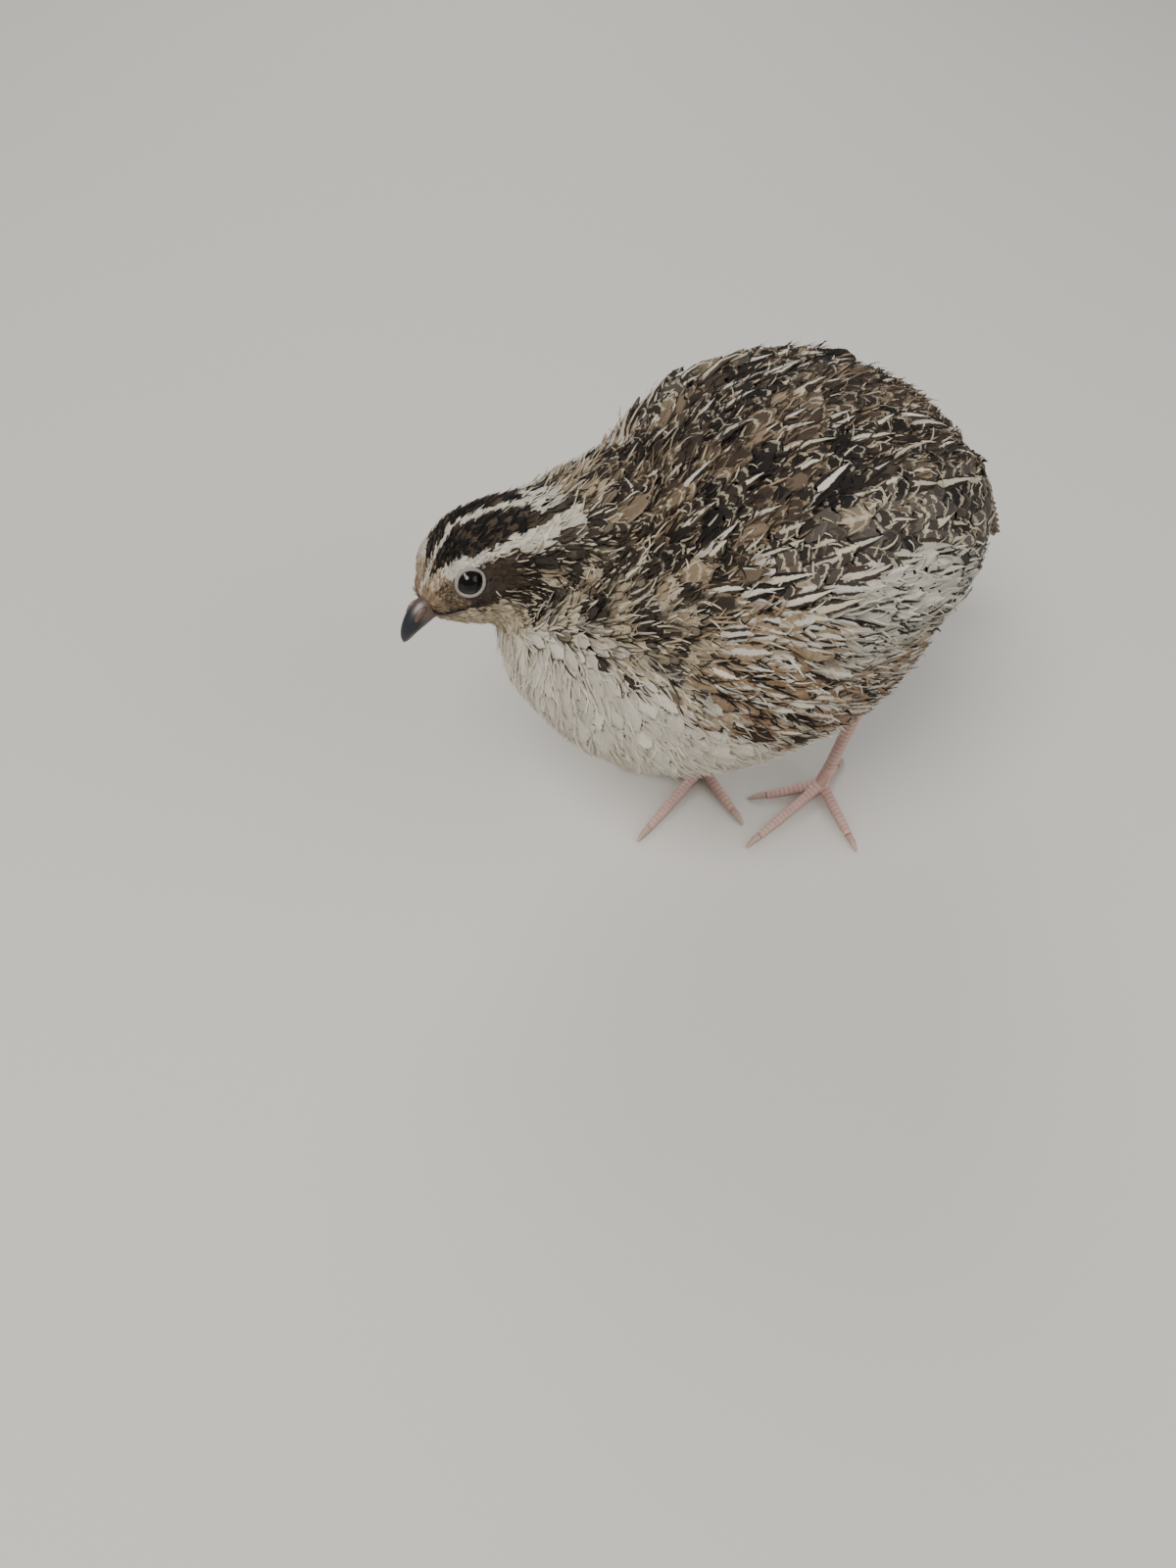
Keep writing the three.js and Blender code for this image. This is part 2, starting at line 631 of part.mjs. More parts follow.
function footSolid(leg) {
  const roots = leg.toes.map((toe) => toeWhole(leg, toe).subtract(beyond(leg, toe, toeShare(toe).knuckle)));
  return largest(join([shankRod(leg, 0), ...roots]).subtract(FLOOR));
}

function thighSolid(leg) {
  const path = [leg.hip, leg.hip.clone().lerp(leg.hock, 0.55), leg.hock.clone().lerp(leg.ankle, 0.12)];
  const whole = solid(rod(path, THIGH_RADII, 14));
  return largest(whole.subtract(bodyWithGap).subtract(shankRod(leg, GAP)));
}

const group = new THREE.Group();
function add(name, manifold, colour, roughness = 0.8) {
  const material = new THREE.MeshStandardMaterial({ color: colour, roughness, metalness: 0 });
  const mesh = new THREE.Mesh(geometryOf(welded(manifold)), material);
  mesh.name = name;
  group.add(mesh);
}

add("head", head, BUFF);
add("bill_upper", billUpper, HORN, 0.4);
add("bill_lower", billLower, HORN, 0.45);
for (const [side, name] of [[LEFT, "left"], [RIGHT, "right"]]) {
  add("eye_" + name, ball(eyeCentre(side), EYE_RADIUS), 0x120d0c, 0.05);
  add("wing_" + name, wings[side], BUFF);
}
add("neck", neck, CREAM);
add("torso", torso, BUFF);
add("tail", tail, BUFF);
for (const leg of LEGS) {
  add("thigh_" + leg.name, thighSolid(leg), CREAM);
  add("shank_" + leg.name, footSolid(leg), FLESH, 0.6);
  for (const toe of leg.toes) {
    add("toe_" + leg.name + "_" + toe.name, toeSolid(leg, toe), FLESH, 0.6);
    add("claw_" + leg.name + "_" + toe.name, clawSolid(leg, toe), CLAW_HORN, 0.4);
  }
}

// The origin is on the floor, under the middle of the whole bird.
const extent = new THREE.Box3().setFromObject(group);
const middle = extent.getCenter(vec(0, 0, 0));
group.position.set(-middle.x, -middle.y, 0);

export default group;
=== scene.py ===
"""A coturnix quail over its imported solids: skin, feathers, eyes, bill, legs and claws.

Row frame, metres: the head points to -X, the left side to -Y, and the feet stand on Z = 0.
"""
import itertools
import math

import bpy
import numpy as np
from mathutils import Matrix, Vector, noise
from mathutils.bvhtree import BVHTree


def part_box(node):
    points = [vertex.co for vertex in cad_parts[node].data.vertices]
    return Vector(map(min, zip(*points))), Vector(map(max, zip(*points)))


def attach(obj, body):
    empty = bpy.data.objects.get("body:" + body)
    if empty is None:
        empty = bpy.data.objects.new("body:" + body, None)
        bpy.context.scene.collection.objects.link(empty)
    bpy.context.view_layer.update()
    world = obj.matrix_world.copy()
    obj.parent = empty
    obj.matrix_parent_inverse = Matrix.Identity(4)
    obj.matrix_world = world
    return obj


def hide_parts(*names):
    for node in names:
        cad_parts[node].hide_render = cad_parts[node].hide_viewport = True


MM = 0.001
SEED = 11

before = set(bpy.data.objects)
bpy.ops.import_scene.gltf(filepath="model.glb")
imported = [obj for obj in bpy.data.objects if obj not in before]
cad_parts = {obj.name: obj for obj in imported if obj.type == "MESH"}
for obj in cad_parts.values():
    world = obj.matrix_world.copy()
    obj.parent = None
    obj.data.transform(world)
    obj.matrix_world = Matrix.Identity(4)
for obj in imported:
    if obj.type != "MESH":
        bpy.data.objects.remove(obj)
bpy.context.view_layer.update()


# Landmarks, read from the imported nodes

def middle_of(node):
    low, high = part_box(node)
    return np.array((low + high) / 2)


def unit(v):
    return v / np.maximum(np.linalg.norm(v, axis=-1, keepdims=True), 1e-12)


HEAD_PITCH = 22  # degrees that the bill points below the horizon
HEAD_ROLL = 14  # degrees that the left side is tilted up
HEAD_YAW = 9  # degrees that the bill is turned to the left of the body
EYE_FORWARD = 0.5  # millimetres in front of the head's centre
EYE_UP = 1.2
EYE_LOOKS_UP = 14
EYE_LOOKS_AHEAD = 12


def head_axes():
    """Forward, left and up of the head, from its pitch, roll and yaw."""
    pitch, roll, yaw = (math.radians(a) for a in (HEAD_PITCH, HEAD_ROLL, HEAD_YAW))
    flat_left = np.array([0.0, -1.0, 0.0])
    flat_up = np.array([-math.sin(pitch), 0, math.cos(pitch)])
    forward = np.array([-math.cos(pitch), 0, -math.sin(pitch)])
    left = flat_left * math.cos(roll) + flat_up * math.sin(roll)
    up = flat_up * math.cos(roll) - flat_left * math.sin(roll)
    turn = np.array([[math.cos(yaw), -math.sin(yaw), 0], [math.sin(yaw), math.cos(yaw), 0], [0, 0, 1]])
    return turn @ forward, turn @ left, turn @ up


HEAD_FORWARD, HEAD_LEFT, HEAD_UP = head_axes()
EYES = {"left": middle_of("eye_left"), "right": middle_of("eye_right")}
HEAD = (EYES["left"] + EYES["right"]) / 2 - (HEAD_FORWARD * EYE_FORWARD + HEAD_UP * EYE_UP) * MM
AXIS_Z = 70 * MM  # height of the trunk's own axis
TAIL_ROOT = np.array([54, 8.8, 66]) * MM
TAIL_TIP = np.array([80.2, 8.4, 54.0]) * MM


def midline(x):
    """Where the bird's middle lies, in metres: the trunk is bent a little towards its right."""
    return np.interp(x / MM, [-60, -40, -10, 10, 34, 55], [5.4, -0.6, -0.6, 0.6, 4.9, 9.4]) * MM


def in_head(points):
    """Forward, left and up of the head's centre, in millimetres."""
    return (points - HEAD) @ np.stack([HEAD_FORWARD, HEAD_LEFT, HEAD_UP], 1) / MM


def head_point(forward, left, up):
    return HEAD + (HEAD_FORWARD * forward + HEAD_LEFT * left + HEAD_UP * up) * MM


BILL_BASE = 10.4  # millimetres in front of the head's centre
BILL_LENGTH = 7.8
BILL_ROOTED = -0.5  # share of the length that lies inside the face
MOUTH_HEIGHT = -3
MOUTH_DROP = 1.9


def mouth_height(forward):
    t = np.maximum(0, (forward - BILL_BASE) / BILL_LENGTH)
    return MOUTH_HEIGHT - MOUTH_DROP * t * t - 0.12 * np.maximum(0, BILL_BASE - forward)


def eye_axis(side):
    """The way an eye looks."""
    up, ahead = math.radians(EYE_LOOKS_UP), math.radians(EYE_LOOKS_AHEAD)
    out = HEAD_LEFT * (1 if side == "left" else -1)
    line = out * math.cos(up) * math.cos(ahead) + HEAD_UP * math.sin(up) + HEAD_FORWARD * math.sin(ahead)
    return unit(line)


def round_eye(points, side):
    """An eye's line of sight, how far points lie along it, and their offsets from it."""
    line = eye_axis(side)
    offset = points - EYES[side]
    ahead = offset @ line
    return line, ahead, offset - ahead[:, None] * line


# Small tools

def linear(colour):
    """An sRGB hex colour as linear RGBA."""
    parts = [int(colour[i:i + 2], 16) / 255 for i in (1, 3, 5)]
    return (*[c / 12.92 if c <= 0.04045 else ((c + 0.055) / 1.055) ** 2.4 for c in parts], 1.0)


def feed(material, node, inputs):
    """Gives a node's inputs values, other nodes' outputs, or nodes, which stand for their first output."""
    for socket, value in inputs.items():
        if isinstance(value, bpy.types.Node):
            value = value.outputs[0]
        if isinstance(value, bpy.types.NodeSocket):
            material.node_tree.links.new(value, node.inputs[socket])
        else:
            node.inputs[socket].default_value = value


def add(material, kind, inputs=None, **settings):
    """Adds a shader node with its settings and links."""
    made = material.node_tree.nodes.new("ShaderNode" + kind)
    for name, value in settings.items():
        setattr(made, name, value)
    feed(material, made, inputs or {})
    return made


def new_material(name):
    """An empty material and its surface shader."""
    material = bpy.data.materials.new(name)
    material.use_nodes = True
    return material, material.node_tree.nodes["Principled BSDF"]


def blotched(name, size, detail, low, high, own=None):
    """A material with blotches of a size in millimetres, with its shader and the blotches.

    They run between two colours or, where own names a colour kept on the mesh, between two shades of it.
    """
    material, shader = new_material(name)
    place = add(material, "TexCoord").outputs["Object"]
    blotch = add(material, "TexNoise", {"Vector": place, "Scale": 1 / (size * MM), "Detail": detail})
    if own:
        colour = add(material, "Attribute", attribute_name=own).outputs["Color"]
        shade = add(material, "MapRange", {"Value": blotch, "To Min": low, "To Max": high})
        tone = add(material, "VectorMath", {0: colour, "Scale": shade}, operation="SCALE").outputs[0]
    else:
        tone = add(material, "Mix", {0: blotch, 6: low, 7: high}, data_type="RGBA").outputs[2]
    feed(material, shader, {"Base Color": tone})
    return material, shader, blotch


def smoothstep(x, low, high):
    t = np.clip((x - low) / (high - low), 0, 1)
    return t * t * (3 - 2 * t)


def select_only(*objects):
    bpy.ops.object.select_all(action="DESELECT")
    for one in objects:
        one.select_set(True)
    bpy.context.view_layer.objects.active = objects[0]


def placed(name, data):
    """A new object in the scene."""
    made = bpy.data.objects.new(name, data)
    bpy.context.scene.collection.objects.link(made)
    return made


def joined(name, pieces):
    select_only(*pieces)
    if len(pieces) > 1:
        bpy.ops.object.join()
    whole = bpy.context.view_layer.objects.active
    whole.name = name
    return whole


def joined_copy(name, nodes):
    """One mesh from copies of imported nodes, their loose triangles merged."""
    whole = joined(name, [placed(name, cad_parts[node].data.copy()) for node in nodes])
    whole.data.materials.clear()
    merge_points(whole)
    return whole


def merge_points(piece):
    select_only(piece)
    bpy.ops.object.mode_set(mode="EDIT")
    bpy.ops.mesh.select_all(action="SELECT")
    bpy.ops.mesh.remove_doubles(threshold=1e-6)
    bpy.ops.object.mode_set(mode="OBJECT")


def applied(piece, kind, **settings):
    """Adds a modifier with its settings and applies it."""
    select_only(piece)
    modifier = piece.modifiers.new(kind.lower(), kind)
    for name, value in settings.items():
        setattr(modifier, name, value)
    bpy.ops.object.modifier_apply(modifier=modifier.name)


def smoothed(piece):
    for polygon in piece.data.polygons:
        polygon.use_smooth = True


def points_of(mesh, attribute="co"):
    out = np.empty(len(mesh.vertices) * 3, np.float32)
    if attribute == "normal":
        mesh.vertex_normals.foreach_get("vector", out)
    else:
        mesh.vertices.foreach_get("co", out)
    return out.reshape(-1, 3).astype(float)


def move_points(mesh, points):
    mesh.vertices.foreach_set("co", points.astype(np.float32).ravel())
    mesh.update()


def surface_of(piece):
    """A tree for finding the nearest point of a piece."""
    mesh = piece.data
    return BVHTree.FromPolygons([v.co for v in mesh.vertices], [list(p.vertices) for p in mesh.polygons])


def put(piece, material, slot, *nodes):
    """Dresses a piece, hangs it on the bird and takes the place of its nodes."""
    piece.data.materials.clear()
    piece.data.materials.append(material)
    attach(piece, "root")
    if nodes:
        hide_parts(*nodes)
    return piece


def store_colour(mesh, name, colours):
    """Keeps one RGBA colour per point."""
    attribute = mesh.attributes.new(name, "FLOAT_COLOR", "POINT")
    attribute.data.foreach_set("color", np.ascontiguousarray(colours, np.float32).ravel())


# Plumage colours, as seen in the photograph

CREAM = linear("#E0DACB")  # breast, belly and the pale brow
CHALK = linear("#CCC7BA")  # the greyer white of vent and thigh
STRAW = linear("#D9CDB2")  # shaft streaks of back and flank
BUFF = linear("#AD977A")
RUFOUS = linear("#8E7055")
UMBER = linear("#57483B")
GREY_BROWN = linear("#635B53")
SEPIA = linear("#302823")
SOOT = linear("#1C1917")


def blend(a, b, share):
    """Mixes two colours, or arrays of them, by a share per point."""
    share = np.asarray(share)[:, None]
    return np.asarray(a) * (1 - share) + np.asarray(b) * share


# Skin: one closed form inside the solids by the depth of the coat

FLESH_NODES = ["head", "neck", "torso", "thigh_left", "thigh_right", "wing_left", "wing_right"]
SOCKET_FILL = ["eye_left", "eye_right"]
COAT_DEPTH = {"face": 0.7, "head": 1.3, "body": 2.7}  # millimetres
SKIN_VOXEL = 0.9 * MM
WING_CUT = 46 * MM  # how far back the wings hold flesh


def rump_stub():
    """The root of the tail, under its feathers."""
    bpy.ops.mesh.primitive_uv_sphere_add(segments=24, ring_count=14, radius=1)
    stub = bpy.context.object
    stub.scale = (13 * MM, 10.5 * MM, 10 * MM)
    stub.rotation_euler = (0, math.radians(25), 0)
    stub.location = (51 * MM, 8.2 * MM, 65.5 * MM)
    select_only(stub)
    bpy.ops.object.transform_apply(location=True, rotation=True, scale=True)
    return stub


def short_wing(side):
    """A wing's flesh, cut off where only quills reach further back."""
    wing = joined_copy("short_wing", ["wing_" + side])
    select_only(wing)
    bpy.ops.object.mode_set(mode="EDIT")
    bpy.ops.mesh.select_all(action="SELECT")
    bpy.ops.mesh.bisect(plane_co=(WING_CUT, 0, 0), plane_no=(1, 0, 0), use_fill=True, clear_outer=True)
    bpy.ops.object.mode_set(mode="OBJECT")
    return wing


def coat_depth(points):
    """How deep the skin lies in the coat, in metres."""
    h = in_head(points)
    away = np.linalg.norm(h - [-2, 0, 0], axis=1)
    on_face = 1 - smoothstep(h[:, 0], -2, 9)
    head = COAT_DEPTH["face"] + (COAT_DEPTH["head"] - COAT_DEPTH["face"]) * on_face
    return MM * (head + (COAT_DEPTH["body"] - head) * smoothstep(away, 12, 24))


def make_skin():
    skin = joined_copy("quail_skin", [n for n in FLESH_NODES if "wing" not in n] + SOCKET_FILL)
    skin = joined("quail_skin", [skin, *(short_wing(side) for side in EYES), rump_stub()])
    applied(skin, "REMESH", mode="VOXEL", voxel_size=SKIN_VOXEL)
    applied(skin, "SMOOTH", factor=0.6, iterations=8)
    points = points_of(skin.data)
    normals = points_of(skin.data, "normal")
    move_points(skin.data, points - normals * coat_depth(points)[:, None])
    applied(skin, "SMOOTH", factor=0.5, iterations=3)
    move_points(skin.data, raised_round_eyes(points_of(skin.data)))
    smoothed(skin)
    return skin


def raised_round_eyes(points):
    """Lifts the skin to the lids' edge, so that no hollow shows round them."""
    for side in EYES:
        line, ahead, offset = round_eye(points, side)
        away = np.linalg.norm(offset, axis=1) / MM
        share = (1 - smoothstep(away, 3.1, 6.4)) * (ahead > 0) * (away > 2.2)
        wanted = np.maximum(ahead, 2.3 * MM)
        points = points + line * ((wanted - ahead) * share)[:, None]
    return points


skin = make_skin()
SKIN = surface_of(skin)
THIGHS = {side: surface_of(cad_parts["thigh_" + side]) for side in EYES}
WINGS = {side: surface_of(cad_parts["wing_" + side]) for side in EYES}


# Where things are on the bird

def turn_of(points):
    """Height round the trunk in degrees: 90 on top, 0 at the sides, -90 below."""
    across = np.abs(points[:, 1] - midline(points[:, 0]))
    return np.degrees(np.arctan2(points[:, 2] - AXIS_Z, across))


def near(points, solids, reach):
    """True where one of the solids is within reach."""
    return np.array([
        any(solid.find_nearest(Vector(p), reach)[0] is not None for solid in solids.values()) for p in points
    ])


def from_eye(points):
    """Distance in millimetres from the nearer eye's line of sight."""
    least = np.full(len(points), 99.0)
    for side in EYES:
        _, ahead, offset = round_eye(points, side)
        distance = np.linalg.norm(offset, axis=1) / MM
        least = np.where(ahead > 0, np.minimum(least, distance), least)
    return least


def lie_of(points, normals):
    """The way the feathers point, along the skin."""
    h = in_head(points)
    x = points[:, 0] / MM
    fall = np.interp(x, [-62, -35, -10, 25, 60], [-1.2, -0.6, -0.35, -0.22, -0.15])
    fall *= np.interp(turn_of(points), [-30, 10, 40], [1, 0.65, 0.4])
    over_leg = smoothstep(-points[:, 2] / MM, -44, -34) * smoothstep(x, -12, -4) * (1 - smoothstep(x, 26, 34))
    fall = fall * (1 - over_leg) - 2.2 * over_leg
    toward_tail = np.interp(x, [10, 60], [0, 0.7])
    side = (TAIL_ROOT[1] - points[:, 1]) / (25 * MM) * toward_tail
    body = unit(np.stack([np.ones_like(x), side, fall], 1))
    spread = np.stack([-np.ones(len(h)), 0.12 * np.sign(h[:, 1]), -0.05 - 0.25 * (h[:, 2] < -2)], 1)
    head = unit(spread) @ np.stack([HEAD_FORWARD, HEAD_LEFT, HEAD_UP])
    share = smoothstep(np.linalg.norm(h - [-2, 0, 0], axis=1), 11, 26)[:, None]
    flow = head * (1 - share) + body * share
    # Round the eyes the feathers part instead of crossing them
    for eye in EYES:
        _, _, offset = round_eye(points, eye)
        away = np.maximum(np.linalg.norm(offset, axis=1), 1e-9)
        inward = np.minimum(np.sum(flow * offset, 1) / away, 0)
        share = (1 - smoothstep(away / MM, 3.5, 6.5)) * 1.1
        flow -= (inward * share / away)[:, None] * offset
    flow -= normals * np.sum(flow * normals, 1, keepdims=True)
    return unit(flow)


# Feathers: curved vanes with a spread tip, many in one mesh

ROWS = np.array([0, 0.2, 0.42, 0.65, 0.86, 1.0])
COLUMNS = np.array([-1, -0.5, 0, 0.5, 1])
HAIR = np.array([-1, 1])
ROUND_TIP = np.array([0.3, 0.78, 1.0, 1.0, 0.82, 0.34])
POINTED_TIP = np.array([0.35, 0.85, 1.0, 0.8, 0.48, 0.12])
LOOSE_TIP = np.array([0.3, 0.7, 0.95, 1.05, 1.0, 0.7])
QUILL_TIP = np.array([0.5, 0.85, 1.0, 1.0, 0.95, 0.6])
HAIR_TIP = np.array([0.6, 1.0, 1.0, 0.85, 0.6, 0.12])
ROOT_DEPTH = 0.35 * MM  # how far a root lies inside the skin
SIZE_SPREAD = 0.13
LIFT_SPREAD = 0.25
ROLL_SPREAD = 5  # degrees
LEAST_SPAN = 0.78  # of a feather's length, between its root and its tip
BAKE_PATCH = 0.003  # how wide a feather is on the baking map


def nearest(points):
    """Nearest points on the skin, and the normals there."""
    places = np.empty_like(points)
    normals = np.empty_like(points)
    for i, p in enumerate(points):
        place, normal, _, _ = SKIN.find_nearest(Vector(p))
        places[i], normals[i] = place, normal
    return places, normals


def scattered(mask, spacing, rng, surplus=5.0):
    """Even places on the skin where mask holds, at least a spacing apart, with their normals."""
    mesh = skin.data
    mesh.calc_loop_triangles()
    corners = np.empty(len(mesh.loop_triangles) * 3, np.int64)
    mesh.loop_triangles.foreach_get("vertices", corners)
    corners = corners.reshape(-1, 3)
    points = points_of(mesh)
    normals = points_of(mesh, "normal")
    middles = points[corners].mean(1)
    keep = corners[mask(middles, unit(normals[corners].mean(1)))]
    a, b, c = (points[keep[:, i]] for i in range(3))
    area = np.linalg.norm(np.cross(b - a, c - a), axis=1) / 2
    mean_gap = float(np.mean(spacing(a))) * MM
    count = int(area.sum() / mean_gap ** 2 * surplus)
    pick = rng.choice(len(keep), count, p=area / area.sum())
    u, v = rng.random(count), rng.random(count)
    flip = u + v > 1
    u[flip], v[flip] = 1 - u[flip], 1 - v[flip]
    shares = np.stack([1 - u - v, u, v], 1)[..., None]
    places = (points[keep[pick]] * shares).sum(1)
    facing = unit((normals[keep[pick]] * shares).sum(1))
    gaps = spacing(places) * MM
    cell = float(gaps.max())
    grid = {}
    chosen = []
    for i, p in enumerate(places):
        key = tuple((p // cell).astype(int))
        cells = itertools.product(*((k - 1, k, k + 1) for k in key))
        others = (j for cell_key in cells for j in grid.get(cell_key, ()))
        if all(np.sum((places[j] - p) ** 2) > gaps[i] ** 2 for j in others):
            grid.setdefault(key, []).append(i)
            chosen.append(i)
    return places[chosen], facing[chosen]


def spines_along(roots, normals, directions, length, lift, hang, curl):
    """Marches each shaft over the skin.

    lift is its height at the root and the tip and its bulge between, hang is how far the tip leaves the skin,
    and curl turns it sideways.
    """
    places, facings = [roots], [normals]
    heading = directions
    here = roots
    for row, step in zip(ROWS[1:], np.diff(ROWS)):
        ahead = here + heading * (length * step)[:, None]
        here, n = nearest(ahead)
        here = here + (ahead - here) * hang * row
        heading = unit(heading + np.cross(n, heading) * (curl * step)[:, None])
        facings.append(n)
        places.append(here)
        heading = unit(heading - n * np.sum(heading * n, 1, keepdims=True))
    places, facings = np.stack(places, 1), np.stack(facings, 1)
    smooth_facing = facings.copy()
    smooth_facing[:, 1:-1] = (facings[:, :-2] + facings[:, 1:-1] * 2 + facings[:, 2:]) / 4
    smooth_facing = unit(smooth_facing)
    at_root, at_tip, bulge = lift[:, 0:1], lift[:, 1:2], lift[:, 2:3]
    rise = np.interp(ROWS, [0, 0.45, 1], [0, 0.5, 1])
    heights = rise * (at_tip - at_root) + at_root + np.sin(np.pi * ROWS) * bulge
    return places + smooth_facing * heights[..., None], smooth_facing


def vanes(spines, facings, half, shape, columns, rng, droop, ragged):
    """Spreads a vane to both sides of every shaft: an array of feather, row, column, XYZ."""
    along = unit(np.gradient(spines, axis=1))
    side = unit(np.cross(facings, along))
    count = len(spines)
    widths = half[:, None] * shape[None, :] * (1 + 0.08 * rng.standard_normal((count, len(ROWS))))
    uneven = 1 + ragged * rng.standard_normal((count, len(ROWS), len(columns)))
    reach = widths[:, :, None] * columns * uneven
    points = spines[:, :, None] + side[:, :, None] * reach[..., None]
    drop = droop * widths[:, :, None] * columns ** 2
    points -= facings[:, :, None] * drop[..., None]
    back = np.zeros((count, len(ROWS), len(columns)))
    back[:, -1] = half[:, None] * (0.9 * columns ** 2 + 0.45 * rng.random((count, len(columns))))
    back[:, -2] = half[:, None] * 0.35 * columns ** 2
    back[:, 1:-2, [0, -1]] = half[:, None, None] * 0.3 * rng.random((count, len(ROWS) - 3, 2))
    return points - along[:, :, None] * back[..., None]


def feather_mesh(name, points, looks, patches):
    """One mesh of many feathers, with its colours, its feather map and its baking map."""
    count, rows, columns = points.shape[:3]
    each = rows * columns
    row, column = np.meshgrid(np.arange(rows - 1), np.arange(columns - 1), indexing="ij")
    first = (row * columns + column).ravel()
    quad = np.stack([first, first + 1, first + columns + 1, first + columns], 1)
    faces = (quad[None] + (np.arange(count) * each)[:, None, None]).reshape(-1, 4)
    mesh = bpy.data.meshes.new(name)
    mesh.vertices.add(count * each)
    mesh.vertices.foreach_set("co", points.astype(np.float32).ravel())
    mesh.loops.add(faces.size)
    mesh.loops.foreach_set("vertex_index", faces.ravel().astype(np.int32))
    mesh.polygons.add(len(faces))
    mesh.polygons.foreach_set("loop_start", np.arange(0, faces.size, 4, dtype=np.int32))
    mesh.polygons.foreach_set("use_smooth", np.ones(len(faces), bool))
    mesh.update(calc_edges=True)
    across, along = np.meshgrid(np.linspace(0, 1, columns), ROWS)
    vane = np.stack([across, along], -1).reshape(1, each, 2).repeat(count, 0)
    baked = patches[:, None] + (vane - 0.5) * BAKE_PATCH
    for layer, uv in (("Vane", vane), ("OFBake", baked)):
        made = mesh.uv_layers.new(name=layer)
        made.data.foreach_set("uv", uv.reshape(-1, 2)[faces.ravel()].astype(np.float32).ravel())
    for key, colours in looks.items():
        store_colour(mesh, key, colours.repeat(each, 0))
    return placed(name, mesh)


def skin_patches(roots):
    """Each root's place on the skin unrolled round the trunk's length."""
    round_trunk = np.arctan2(roots[:, 1] - midline(roots[:, 0]), AXIS_Z - roots[:, 2]) / (2 * math.pi) + 0.5
    low, high = roots[:, 0].min(), roots[:, 0].max()
    along = (roots[:, 0] - low) / max(high - low, 1e-6)
    return np.stack([0.01 + 0.98 * round_trunk, 0.01 + 0.98 * along], 1)


def looks_of(count, ground, mark, pale, fringe, streak, bars, edge, rng):
    """Colours of each feather and, in cut, its streak's half width, its bars, its edge and its own number."""
    def many(colour):
        colour = np.asarray(colour, float)
        return np.broadcast_to(colour, (count, 4)).copy()

    looks = {"ground": many(ground), "mark": many(mark), "pale": many(pale), "fringe": many(fringe)}
    for key in looks:
        looks[key][:, :3] *= np.clip(1 + 0.1 * rng.standard_normal((count, 1)), 0.7, 1.3)
        looks[key] = np.clip(looks[key], 0, 1)
        looks[key][:, 3] = 1
    ones = np.ones(count)
    looks["cut"] = np.stack([streak * ones, bars * ones, edge * ones, rng.random(count)], 1)
    return looks


def coat(name, mask, spacing, length, width, lift, shape, look, rng,
         messy=7.0, ragged=0.09, droop=0.22, shown=0.55, columns=COLUMNS, hang=0.0, curl=0.0):
    """Covers part of the skin with feathers.

    Sizes are in millimetres, as numbers or as functions of place. shown is the share of a feather's length at
    which the part in sight lies, messy is how far it strays from the lie in degrees, and ragged is how uneven
    its edge is.
    """
    def at(value, places):
        return value(places) if callable(value) else np.full(len(places), float(value))

    def showing(places, facings):
        """True where the part of the feather in sight falls in the mask."""
        return mask(places + lie_of(places, facings) * (at(length, places) * shown * MM)[:, None])

    roots, normals = scattered(showing, lambda p: at(spacing, p), rng)
    count = len(roots)
    directions = lie_of(roots, normals)
    sideways = np.cross(normals, directions)
    stray = np.radians(messy) * rng.standard_normal(count)
    directions = directions * np.cos(stray)[:, None] + sideways * np.sin(stray)[:, None]
    size = 1 + SIZE_SPREAD * rng.standard_normal(count)
    long = at(length, roots) * size * MM
    half = at(width, roots) * size * MM / 2
    tip = at(lift, roots) * (1 + LIFT_SPREAD * rng.standard_normal(count)) * MM
    lifts = np.stack([np.full(count, -ROOT_DEPTH), tip, tip * 0.15], 1)
    turning = curl * rng.standard_normal(count)
    spines, facings = spines_along(roots, normals, directions, long, lifts, hang, turning)
    roll = np.radians(ROLL_SPREAD) * rng.standard_normal(count)
    side = np.cross(facings, unit(np.gradient(spines, axis=1)))
    facings = unit(facings + side * np.tan(roll)[:, None, None])
    # A feather that folded over an edge of the skin is left out
    straight = np.linalg.norm(spines[:, -1] - spines[:, 0], axis=1) > LEAST_SPAN * long
    spines, facings, half, roots = spines[straight], facings[straight], half[straight], roots[straight]
    points = vanes(spines, facings, half, shape, columns, rng, droop, ragged)
    piece = feather_mesh(name, points, look(spines[:, 3], rng), skin_patches(roots))
    return put(piece, FEATHER, "plumage")


# Keratin feather barbs: matt, softly streaked along the barbs, with painted shade that darkens each feather
# towards its root, where it lies under others

LET_THROUGH = 0.3  # share of the light that passes a thin vane


